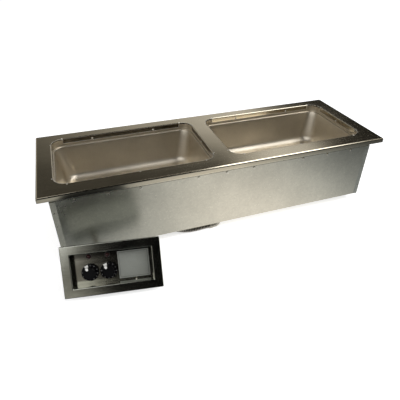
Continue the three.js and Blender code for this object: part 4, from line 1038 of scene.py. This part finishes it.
@dataclass
class Studio:
    """Camera at the photograph's place, white floor and backdrop, and soft lamps."""

    eye: Point = (-0.4441, -1.16975, 0.6257)
    right: Point = (0.94489, -0.32737, 0.00233)
    up: Point = (0.18678, 0.54492, 0.81742)
    forward: Point = (0.26887, 0.77194, -0.57604)
    lens: float = 34.589
    sensor: float = 36.0
    clip: Pair = (0.01, 100.0)
    ground: float = -0.265
    floor_size: float = 24.0
    floor_tone: float = 0.8
    floor_glow: float = 0.62
    fill: float = 0.5
    room: Room = field(default_factory=Room)
    pool: FloorPool = field(default_factory=FloorPool)
    lamps: tuple[Lamp, ...] = (
        Lamp("key_lamp", (1.2, -1.6, 2.4), (1.6, 1.2), 55.0),
        Lamp("fill_lamp", (-2.2, -1.4, 1.6), (1.4, 1.4), 14.0),
    )

    def add_camera(self) -> None:
        """Adds the camera."""
        data = bpy.data.cameras.new("camera")
        data.lens = self.lens
        data.sensor_width = self.sensor
        data.clip_start, data.clip_end = self.clip
        camera = linked("camera", data)
        turn = Matrix((self.right, self.up, -Vector(self.forward))).transposed()
        camera.matrix_world = Matrix.Translation(self.eye) @ turn.to_4x4()
        bpy.context.scene.camera = camera

    def _by_ray(self, tree: Tree, seen: object, mirrored: object, lit: object) -> Socket:
        """Chooses a value by the kind of ray.

        Args:
            tree: the builder.
            seen: the value for rays from the camera and through glass.
            mirrored: the value for rays off metal.
            lit: the value for all other rays.

        Returns:
            The chosen value.
        """
        path = tree.add("LightPath")
        value = tree.blend(path["Is Glossy Ray"], lit, mirrored)
        direct = tree.math("MAXIMUM", path["Is Camera Ray"], path["Is Transmission Ray"])
        return tree.blend(direct, value, seen)

    def _mirrored_tint(self, tree: Tree, tint: Socket) -> Socket:
        """Gives mirrored rays a tint and leaves all others white."""
        return tree.mix(tree.add("LightPath")["Is Glossy Ray"], opaque(WHITE), tint)

    def add_world(self) -> None:
        """Makes the world white where it is seen, a room in mirrors and soft as light."""
        world = bpy.data.worlds.new("studio_world")
        world.use_nodes = True
        bpy.context.scene.world = world
        tree = Tree(world.node_tree)
        room = self.room.tone(tree, tree.add("TexCoord")["Generated"])
        tint = tree.mix(room, opaque(self.room.dim_tint), opaque(WHITE))
        tree.fill(world.node_tree.nodes["Background"], {
            "Strength": self._by_ray(tree, 1.0, room, self.fill),
            "Color": self._mirrored_tint(tree, tint),
        })

    def add_floor(self) -> None:
        """Adds the pale floor, which keeps the object's shadow."""
        level = (0, 0, self.ground - CLEARANCE)
        add_plane = bpy.ops.mesh.primitive_plane_add
        floor = primitive("studio_floor", add_plane, size=self.floor_size, location=level)
        tree = Surface("floor_white")
        pool = self.pool.tone(tree, tree.place)
        tone = self._by_ray(tree, self.floor_tone, 0.0, self.floor_tone)
        tree.fill(tree.shader, {
            "Base Color": tree.mix(tone, opaque(BLACK), opaque(WHITE)),
            "Roughness": 1.0,
            "Specular IOR Level": 0.0,
            "Emission Color": self._mirrored_tint(tree, self.pool.tint(tree, pool)),
            "Emission Strength": self._by_ray(tree, self.floor_glow, pool, 0.0),
        })
        floor.data.materials.append(tree.material)

    def build(self) -> None:
        """Builds the studio and sets the plain view transform."""
        self.add_camera()
        self.add_world()
        self.add_floor()
        for lamp in self.lamps:
            lamp.add()
        bpy.context.scene.view_settings.view_transform = "Standard"
        LOG.info("built the studio")


# Conduit


def spline_points(points: Sequence[Vector], steps: int) -> list[Vector]:
    """Samples a centripetal Catmull-Rom curve through points.

    Args:
        points: what the curve goes through.
        steps: samples of each span.

    Returns:
        Points along the curve, with both ends.
    """
    ends = [2 * points[0] - points[1], *points, 2 * points[-1] - points[-2]]
    samples = []
    for index in range(len(points) - 1):
        p0, p1, p2, p3 = ends[index:index + 4]
        gaps = [max(1e-4, (b - a).length ** 0.5) for a, b in ((p0, p1), (p1, p2), (p2, p3))]
        t1 = ((p1 - p0) / gaps[0] - (p2 - p0) / (gaps[0] + gaps[1]) + (p2 - p1) / gaps[1]) * gaps[1]
        t2 = ((p2 - p1) / gaps[1] - (p3 - p1) / (gaps[1] + gaps[2]) + (p3 - p2) / gaps[2]) * gaps[1]
        for step in range(steps):
            s = step / steps
            cubic = p1 * (2 * s**3 - 3 * s**2 + 1) + p2 * (3 * s**2 - 2 * s**3)
            samples.append(cubic + t1 * (s**3 - 2 * s**2 + s) + t2 * (s**3 - s**2))
    return [*samples, points[-1].copy()]


CONDUIT_ROUTE: tuple[Point, ...] = (
    (-0.4548, -0.2299, -0.2303), (-0.4526, -0.2161, -0.2381), (-0.4495, -0.1972, -0.2462),
    (-0.4463, -0.1673, -0.2523), (-0.4394, -0.1284, -0.2519), (-0.4320, -0.0961, -0.2535),
    (-0.4254, -0.0521, -0.2555), (-0.4233, -0.0058, -0.2570), (-0.4225, 0.0330, -0.2570),
    (-0.4136, 0.0674, -0.2570), (-0.3894, 0.1057, -0.2570), (-0.3529, 0.1333, -0.2570),
    (-0.3085, 0.1439, -0.2570), (-0.2664, 0.1337, -0.2570), (-0.2383, 0.1101, -0.2570),
    (-0.2212, 0.0728, -0.2570), (-0.2187, 0.0244, -0.2570), (-0.2244, -0.0153, -0.2570),
    (-0.2235, -0.0537, -0.2570), (-0.2065, -0.0994, -0.2565), (-0.1833, -0.1290, -0.2555),
    (-0.1451, -0.1502, -0.2548), (-0.1136, -0.1552, -0.2545), (-0.0703, -0.1530, -0.2545),
    (-0.0543, -0.1530, -0.2545),
)


@dataclass
class Conduit:
    """Flexible conduit of interlocked strip, with the fittings at its ends."""

    radius: float = 8.0 * MM
    root_radius: float = 6.9 * MM
    ribs: int = 156
    crest_share: float = 0.55
    slope_share: float = 0.06
    root_share: float = 0.165
    sides: int = 16
    samples: int = 16

    def build(self) -> None:
        """Builds the conduit and dresses its fittings."""
        elbow = refined_copy("conduit_elbow", CAST)
        connector = refined_copy("box_connector", CAST)
        for end in ("elbow", "connector"):
            refined_copy(f"{end}_locknut", SCREW_STEEL)
        route = spline_points([Vector(point) for point in reversed(CONDUIT_ROUTE)], self.samples)
        length = sum((b - a).length for a, b in zip(route, route[1:]))
        hose = self._ribbed_hose(route, length)
        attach(hose, Body.HOUSING.value)
        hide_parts("flexible_conduit")
        LOG.info("built the conduit, %.3f m", length)

    def _ribbed_hose(self, route: Sequence[Vector], length: float) -> Piece:
        """Models one rib, repeats it and bends the row along the route.

        Args:
            route: points along the middle of the hose.
            length: the route's length.

        Returns:
            The hose.
        """
        pitch = length / self.ribs
        hose = primitive(
            "flexible_conduit_ribbed", bpy.ops.mesh.primitive_cylinder_add, vertices=self.sides,
            radius=self.radius, depth=pitch * self.crest_share, end_fill_type="NOTHING",
            location=(pitch / 2, 0, 0), rotation=(0, math.pi / 2, 0),
        )
        self._extend_rib(hose, -1, pitch)
        self._extend_rib(hose, 1, pitch)
        self._darken_grooves(hose)
        apply_modifier(
            hose, "ARRAY", fit_type="FIXED_COUNT", count=self.ribs, use_relative_offset=False,
            use_constant_offset=True, constant_offset_displace=(pitch, 0, 0), use_merge_vertices=True,
            merge_threshold=EDGE_TOLERANCE,
        )
        guide_data = bpy.data.curves.new("conduit_guide", "CURVE")
        guide_data.dimensions = "3D"
        spline = guide_data.splines.new("POLY")
        spline.points.add(len(route) - 1)
        for point, place in zip(spline.points, route):
            point.co = (*place, 1.0)
        guide = linked("conduit_guide", guide_data)
        apply_modifier(hose, "CURVE", object=guide, deform_axis="POS_X")
        bpy.data.objects.remove(guide)
        with Editing(hose):
            bpy.ops.mesh.select_all(action="DESELECT")
            bpy.ops.mesh.select_non_manifold()
            bpy.ops.mesh.edge_face_add()
        recalculate_normals(hose)
        smooth(hose, 50)
        return hose

    def _darken_grooves(self, hose: Piece) -> None:
        """Gives the crest of the rib the strip's finish and the rest a near-black copy of it, a painted shade
        in the grooves.

        Args:
            hose: the rib.
        """
        for finish in (CONDUIT_STRIP, CONDUIT_GROOVE_SHADE):
            hose.data.materials.append(finish.material())
        limit = (self.radius + self.root_radius) / 2
        for face in hose.data.polygons:
            face.material_index = int(math.hypot(face.center.y, face.center.z) < limit)

    def _extend_rib(self, hose: Piece, side: int, pitch: float) -> None:
        """Extrudes one rim of the rib down to the root and out to the rib's end.

        Args:
            hose: the rib so far.
            side: -1 for the near rim and 1 for the far one.
            pitch: distance from rib to rib.
        """
        limit = max(side * vertex.co.x for vertex in hose.data.vertices) - EDGE_TOLERANCE
        shrink = self.root_radius / self.radius
        with Editing(hose, "EDGE"):
            select_edges(hose, lambda point: side * point.x > limit)
            extrude_edges(side * pitch * self.slope_share, 0, 0)
            bpy.ops.transform.resize(value=(1, shrink, shrink), center_override=(0, 0, 0))
            extrude_edges(side * pitch * self.root_share, 0, 0)


# Wells


@dataclass
class Ring:
    """A rounded rectangle at one height."""

    length: float
    width: float
    height: float
    radius: float

    def points(self, steps: int, middle: Pair) -> list[Vector]:
        """Gives the ring's points counterclockwise.

        Args:
            steps: facets of each corner.
            middle: the ring's middle in plan.

        Returns:
            One point for each corner step.
        """
        points = []
        a = self.length / 2 - self.radius
        b = self.width / 2 - self.radius
        for x, y, start in ((a, -b, -90), (a, b, 0), (-a, b, 90), (-a, -b, 180)):
            for step in range(steps + 1):
                angle = math.radians(start + 90 * step / steps)
                dx, dy = self.radius * math.cos(angle), self.radius * math.sin(angle)
                points.append(Vector((middle[0] + x + dx, middle[1] + y + dy, self.height)))
        return points


def drawn_sheet(name: str, rings: Sequence[Ring], middle: Pair, steps: int) -> Piece:
    """Draws a sheet down through rings by extruding its rim, and closes the last ring.

    Args:
        name: the piece's name.
        rings: the sheet's rings from its rim to its floor.
        middle: the sheet's middle in plan.
        steps: facets of each corner.

    Returns:
        A single-walled sheet.
    """
    loops = [ring.points(steps, middle) for ring in rings]
    sheet = primitive(name, bpy.ops.mesh.primitive_circle_add, vertices=len(loops[0]), radius=0.1)
    for vertex, place in zip(sheet.data.vertices, loops[0]):
        vertex.co = place
    order = {index: index for index in range(len(loops[0]))}
    with Editing(sheet, "EDGE"):
        for loop in loops[1:]:
            extrude_edges(0, 0, -1.0)
            mesh = bmesh.from_edit_mesh(sheet.data)
            mesh.verts.index_update()
            drawn = {}
            for vertex in (v for v in mesh.verts if v.select):
                near = (edge.other_vert(vertex).index for edge in vertex.link_edges)
                drawn[vertex.index] = order[next(index for index in near if index in order)]
                vertex.co = loop[drawn[vertex.index]]
            order = drawn
            bmesh.update_edit_mesh(sheet.data)
        bpy.ops.mesh.edge_face_add()
    return sheet


@dataclass
class WellPan:
    """One drawn pan: collar, shoulder, leaning walls and a round foot."""

    side: str
    opening_radius: float = 36 * MM
    collar_inset: float = -1.55 * MM
    collar_top: float = 10.5 * MM
    collar_bend: float = 1.2 * MM
    collar_bend_middle: float = 0.35 * MM
    shoulder: float = -11.5 * MM
    ledge_end: float = 1.45 * MM
    ledge_radius: float = 2.5 * MM
    floor: float = -131.5 * MM
    foot_radius: float = 26 * MM
    foot_corner: float = 48 * MM
    lean: float = math.radians(10)
    gauge: float = 1.0 * MM
    corner_steps: int = 14
    bend_steps: int = 5
    wall_steps: int = 5
    foot_steps: int = 12

    def _profile(self) -> tuple[list[Pair], float]:
        """Works out the inner face from the rim to the floor.

        Returns:
            Pairs of inset and height, and the inset where the foot starts.
        """
        bend_middle = self.shoulder - self.ledge_radius
        foot_middle = self.floor + self.foot_radius
        wall_top = bend_middle + self.ledge_radius * math.sin(self.lean)
        wall_foot = foot_middle - self.foot_radius * math.sin(self.lean)
        wall_inset = self.ledge_end + self.ledge_radius * math.cos(self.lean)
        foot_start = wall_inset + (wall_top - wall_foot) * math.tan(self.lean)
        foot_inset = foot_start + self.foot_radius * math.cos(self.lean)
        profile = [
            (self.collar_inset, self.collar_top), (self.collar_inset, self.shoulder + self.collar_bend),
            (self.collar_inset + self.collar_bend_middle, self.shoulder + self.collar_bend_middle),
            (self.collar_inset + self.collar_bend, self.shoulder), (self.ledge_end, self.shoulder),
        ]
        sweep = math.pi / 2 - self.lean
        for step in range(1, self.bend_steps + 1):
            angle = sweep * step / self.bend_steps
            inset = self.ledge_end + self.ledge_radius * math.sin(angle)
            profile.append((inset, bend_middle + self.ledge_radius * math.cos(angle)))
        for step in range(1, self.wall_steps):
            share = step / self.wall_steps
            inset = wall_inset + (foot_start - wall_inset) * share
            profile.append((inset, wall_top + (wall_foot - wall_top) * share))
        for step in range(self.foot_steps + 1):
            angle = self.lean + sweep * step / self.foot_steps
            inset = foot_inset - self.foot_radius * math.cos(angle)
            profile.append((inset, foot_middle - self.foot_radius * math.sin(angle)))
        return profile, foot_start

    def _corner(self, inset: float, foot_start: float) -> float:
        """Works out the corner radius at an inset from the opening's edge.

        Args:
            inset: how far inside the opening's edge the sheet is.
            foot_start: the inset where the foot starts.

        Returns:
            The corner radius.
        """
        if inset <= 0:
            return self.opening_radius - inset
        if inset <= foot_start:
            return self.opening_radius + (self.foot_corner - self.opening_radius) * inset / foot_start
        return self.foot_corner - (inset - foot_start)

    def build(self) -> None:
        """Draws the pan, turns it to face inwards, gives it its gauge and dresses it."""
        profile, foot_start = self._profile()
        rings = [
            Ring(OPENING[0] - 2 * inset, OPENING[1] - 2 * inset, height, self._corner(inset, foot_start))
            for inset, height in profile
        ]
        pan = drawn_sheet(f"drawn_pan_{self.side}", rings, (WELLS[self.side], SETBACK), self.corner_steps)
        recalculate_normals(pan)
        if min(pan.data.polygons, key=lambda face: face.center.z).normal.z < 0:
            with Editing(pan):
                bpy.ops.mesh.flip_normals()
        apply_modifier(pan, "SOLIDIFY", thickness=self.gauge, offset=-1.0, use_even_offset=True)
        smooth(pan, 42)
        dress(pan, DRAWN)
        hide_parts(f"well_pan_{self.side}")


# Top plate and housing


@dataclass(frozen=True)
class DomedHead:
    """Low domed head of a rivet, a screw or a weld bead."""

    radius: float
    height: float
    sides: int = 16
    finish: Finish = RIVET_STEEL
    foot_share: float = 0.4
    insets: tuple[Pair, ...] = ((0.18, 0.3), (0.3, 0.25))

    def stand(self, name: str, place: Point, outward: Point) -> None:
        """Models a head that stands on a face of the housing, and dresses it.

        Args:
            name: the piece's name.
            place: the middle of its foot.
            outward: the direction that it stands in.
        """
        foot = self.height * self.foot_share
        head = primitive(
            name, bpy.ops.mesh.primitive_cylinder_add, vertices=self.sides, radius=self.radius, depth=foot,
        )
        with Editing(head, "FACE"):
            bpy.ops.mesh.select_all(action="DESELECT")
            mesh = bmesh.from_edit_mesh(head.data)
            max(mesh.faces, key=lambda face: face.calc_center_median().z).select = True
            bmesh.update_edit_mesh(head.data)
            for inwards, upwards in self.insets:
                bpy.ops.mesh.inset(thickness=self.radius * inwards, depth=self.height * upwards)
        axis = Vector(outward).normalized()
        turn = axis.to_track_quat("Z", "Y").to_matrix().to_4x4()
        settle(head, Matrix.Translation(Vector(place) + axis * foot / 2) @ turn)
        smooth(head, 50)
        dress(head, self.finish)


@dataclass
class TopPlate:
    """Top plate with the flanges of its openings, and the rivets and beads on them."""

    rivet: DomedHead = DomedHead(3.2 * MM, 1.6 * MM)
    rivet_level: float = 3.5 * MM
    rivet_spread: float = 113 * MM
    bead: DomedHead = DomedHead(2.7 * MM, 1.9 * MM, 12)
    bead_level: float = 15.6 * MM
    bead_spread: float = 217 * MM
    bead_inset: float = 0.9 * MM

    def build(self) -> None:
        """Dresses the plate and sets the beads and the rivets of each well."""
        refined_copy("top_plate", BRUSHED)
        for side in WELLS:
            self._beads(side)
            self._rivets(side)
        LOG.info("built the top plate")

    def _beads(self, side: str) -> None:
        """Sets the weld beads that close the cuts at the flanges' ends.

        Args:
            side: which well they are at.
        """
        half = OPENING[1] / 2 + self.bead_inset
        spread = self.bead_spread
        marks = ((-spread, -1), (0.0, -1), (spread, -1), (-spread, 1), (spread, 1))
        for number, (shift, face) in enumerate(marks, start=1):
            place = (WELLS[side] + shift, SETBACK + face * half, self.bead_level)
            self.bead.stand(f"flange_bead_{side}_{number}", place, (0, -face, 1))

    def _rivets(self, side: str) -> None:
        """Sets the rivets in the back flange and the two end flanges.

        Args:
            side: which well they are at.
        """
        half_length, half_width = OPENING[0] / 2, OPENING[1] / 2
        marks = (
            (-self.rivet_spread, half_width, (0, -1, 0)), (self.rivet_spread, half_width, (0, -1, 0)),
            (half_length, 0.0, (-1, 0, 0)), (-half_length, 0.0, (1, 0, 0)),
        )
        for number, (x, y, outward) in enumerate(marks, start=1):
            place = (WELLS[side] + x, SETBACK + y, self.rivet_level)
            self.rivet.stand(f"flange_rivet_{side}_{number}", place, outward)


@dataclass
class Housing:
    """Galvanised housing with its rails, screws and what lies inside it."""

    half_width: float = 178 * MM
    strip_x: float = 553 * MM
    strip_levels: tuple[float, ...] = (-60 * MM, -108.5 * MM, -190 * MM)
    strip_rivet: DomedHead = DomedHead(2.6 * MM, 1.2 * MM, 12, SCREW_STEEL)
    seam_screws: int = 9
    seam_screw_bevel: float = 0.25 * MM

    def build(self) -> None:
        """Dresses the sheets, screws, batts, elements and trays."""
        for part in ("front", "back", "bottom"):
            refined_copy(f"housing_{part}", ZINC)
        for side in WELLS:
            refined_copy(f"element_tray_{side}", ZINC)
        for side, finish in ZINC_ENDS.items():
            refined_copy(f"housing_end_{side}", finish)
        for side in ("front", "back", "left", "right"):
            refined_copy(f"rail_{side}", ZINC_RAIL)
        for number in range(1, self.seam_screws + 1):
            refined_copy(f"seam_screw_{number}", SCREW_STEEL, self.seam_screw_bevel)
        for part in ("front", "back", "left", "right", "middle", "under"):
            coat(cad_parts[f"insulation_{part}"], BATT)
            LOG.info("dressed insulation_%s", part)
        for side in WELLS:
            refined_copy(f"heating_element_{side}", SHEATH)
        self._strip_rivets()
        LOG.info("built the housing")

    def _strip_rivets(self) -> None:
        """Sets the rivets that hold the corner strips to the front and back panels."""
        for side, x in (("left", -self.strip_x), ("right", self.strip_x)):
            for face, y in (("front", -1), ("back", 1)):
                for number, level in enumerate(self.strip_levels, start=1):
                    name = f"strip_rivet_{side}_{face}_{number}"
                    self.strip_rivet.stand(name, (x, y * self.half_width, level), (0, y, 0))


# Control panel


def drawn_strip(name: str, stations: Sequence[Point], gauge: float) -> Piece:
    """Models a folded strip by extruding its edge from station to station.

    Args:
        name: the piece's name.
        stations: the reach, the height and the half width of each fold, from the near end.
        gauge: the strip's thickness, below its face.

    Returns:
        The strip, which runs along +Y with its face up.
    """
    strip = primitive(name, bpy.ops.mesh.primitive_plane_add, size=1.0)
    for vertex in strip.data.vertices:
        reach, height, half = stations[0] if vertex.co.y < 0 else stations[1]
        vertex.co = (math.copysign(half, vertex.co.x), reach, height)
    with Editing(strip, "EDGE"):
        select_edges(strip, lambda point: abs(point.y - stations[1][0]) < MERGE_DISTANCE)
        for reach, height, half in stations[2:]:
            extrude_edges(0, 0, 1.0)
            mesh = bmesh.from_edit_mesh(strip.data)
            for vertex in (v for v in mesh.verts if v.select):
                vertex.co = (math.copysign(half, vertex.co.x), reach, height)
            bmesh.update_edit_mesh(strip.data)
    recalculate_normals(strip)
    apply_modifier(strip, "SOLIDIFY", thickness=gauge, offset=-1.0, use_even_offset=True)
    return strip


@dataclass
class Dial:
    """Marks of one dial: a white pointer and the numbers round its skirt."""

    side: str
    axis: Matrix
    off_turn: float = math.radians(24)
    step: float = math.radians(30)
    numbers: int = 10
    number_size: float = 4.6 * MM
    number_radius: float = 21.6 * MM
    skirt_level: float = -28 * MM
    grip_level: float = -13 * MM
    ink: float = 0.06 * MM
    pointer_lift: float = 0.15 * MM
    pointer_bend: float = 0.6 * MM
    pointer_gauge: float = 1.2 * MM

    def build(self) -> None:
        """Makes the marks and sets them on the dial."""
        body = Body(f"knob_{self.side}")
        dress(self._pointer(), WHITE_INK, body)
        dress(self._numbers(), GREY_INK, body)

    def _pointer(self) -> Piece:
        """Makes the pointer, which climbs from the skirt over the grip's side to its top.

        Returns:
            The pointer.
        """
        low, high = self.skirt_level + self.pointer_lift, self.grip_level + self.pointer_lift
        stations = [
            (24.0 * MM, low, 5.4 * MM), (18.8 * MM, low, 4.6 * MM),
            (17.3 * MM, high - self.pointer_bend, 3.9 * MM), (16.7 * MM, high, 3.7 * MM),
            (11.5 * MM, high, 2.6 * MM),
        ]
        pointer = drawn_strip(f"dial_pointer_{self.side}", stations, self.pointer_gauge)
        settle(pointer, self.axis @ Matrix.Rotation(self.off_turn, 4, "Z"))
        return pointer

    def _numbers(self) -> Piece:
        """Prints the numbers clockwise round the skirt.

        Returns:
            The numbers, joined into one piece.
        """
        marks = []
        for number in range(1, self.numbers + 1):
            deselect_all()
            bpy.ops.object.text_add()
            mark = bpy.context.object
            mark.data.body = str(number)
            mark.data.align_x = mark.data.align_y = "CENTER"
            mark.data.size = self.number_size
            mark.data.extrude = self.ink / 2
            mark.data.resolution_u = 3
            bpy.ops.object.convert(target="MESH")
            turn = Matrix.Rotation(self.off_turn - number * self.step, 4, "Z")
            level = Matrix.Translation((0, self.number_radius, self.skirt_level + self.ink))
            settle(mark, self.axis @ turn @ level)
            marks.append(mark)
        activate(*marks)
        bpy.ops.object.join()
        numbers = marks[0]
        numbers.name = f"dial_numbers_{self.side}"
        recalculate_normals(numbers)
        return numbers


@dataclass
class ControlPanel:
    """Remote control box: bezel, recess, dials, lamps and label."""

    centre: Point = (-0.421, -0.336, -0.174653)
    dials: dict[str, float] = field(default_factory=lambda: {"left": -68 * MM, "right": -14 * MM})
    dial_level: float = -14.7 * MM
    moulding_bevel: float = 0.3 * MM
    label_bevel: float = 0.2 * MM
    label_middle: Point = (60.5 * MM, -3.5 * MM, -34.9 * MM)
    border: Pair = (85 * MM, 76 * MM)
    border_line: float = 0.9 * MM
    border_ink: float = 0.06 * MM
    screw: DomedHead = DomedHead(2.4 * MM, 2.6 * MM)
    screw_place: Point = (64 * MM, -49.7 * MM, -23 * MM)

    def matrix(self) -> Matrix:
        """Gives the turn and place of the panel, which is designed lying flat."""
        tilt, _, yaw = PANEL_TURN
        return Matrix.Translation(self.centre) @ Matrix.Rotation(yaw, 4, "Z") @ Matrix.Rotation(tilt, 4, "X")

    def build(self) -> None:
        """Dresses the panel's nodes and adds its marks."""
        panel = self.matrix()
        refined_copy("control_bezel", BEZEL_STEEL)
        refined_copy("control_plate", PANEL_STEEL)
        refined_copy("control_box", ZINC_BOX)
        refined_copy("label_plate", LABEL, self.label_bevel)
        refined_copy("terminal_block", SWITCH_BLACK, self.moulding_bevel)
        for side, u in self.dials.items():
            body = Body(f"knob_{side}")
            refined_copy(f"heat_switch_{side}", SWITCH_BLACK, self.moulding_bevel)
            refined_copy(f"lamp_body_{side}", SWITCH_BLACK)
            refined_copy(f"lamp_lens_{side}", LENS_RED)
            refined_copy(f"switch_shaft_{side}", SCREW_STEEL, body=body)
            refined_copy(f"knob_{side}", KNOB_BLACK, self.moulding_bevel, body)
            Dial(side, panel @ Matrix.Translation((u, self.dial_level, 0.0))).build()
        self._border(panel)
        outward = panel.to_3x3() @ Vector((0, 1, 0))
        self.screw.stand("recess_screw_head", panel @ Vector(self.screw_place), outward)
        LOG.info("built the control panel")

    def _border(self, panel: Matrix) -> None:
        """Prints a plain border on the bare label.

        Args:
            panel: the turn and place of the panel.
        """
        border = primitive("label_border", bpy.ops.mesh.primitive_plane_add, size=1.0)
        border.scale = (*self.border, 1.0)
        settle(border)
        with Editing(border, "FACE"):
            bpy.ops.mesh.inset(thickness=self.border_line)
            bpy.ops.mesh.delete(type="FACE")
        apply_modifier(border, "SOLIDIFY", thickness=self.border_ink, offset=1.0)
        settle(border, panel @ Matrix.Translation(self.label_middle))
        dress(border, DARK_INK)


def main() -> None:
    """Builds the studio and every sub-assembly in order."""
    logging.basicConfig(level=logging.INFO, format="%(name)s: %(message)s")
    Studio().build()
    Conduit().build()
    TopPlate().build()
    for side in WELLS:
        WellPan(side).build()
    Housing().build()
    ControlPanel().build()


if __name__ == "__main__":
    main()
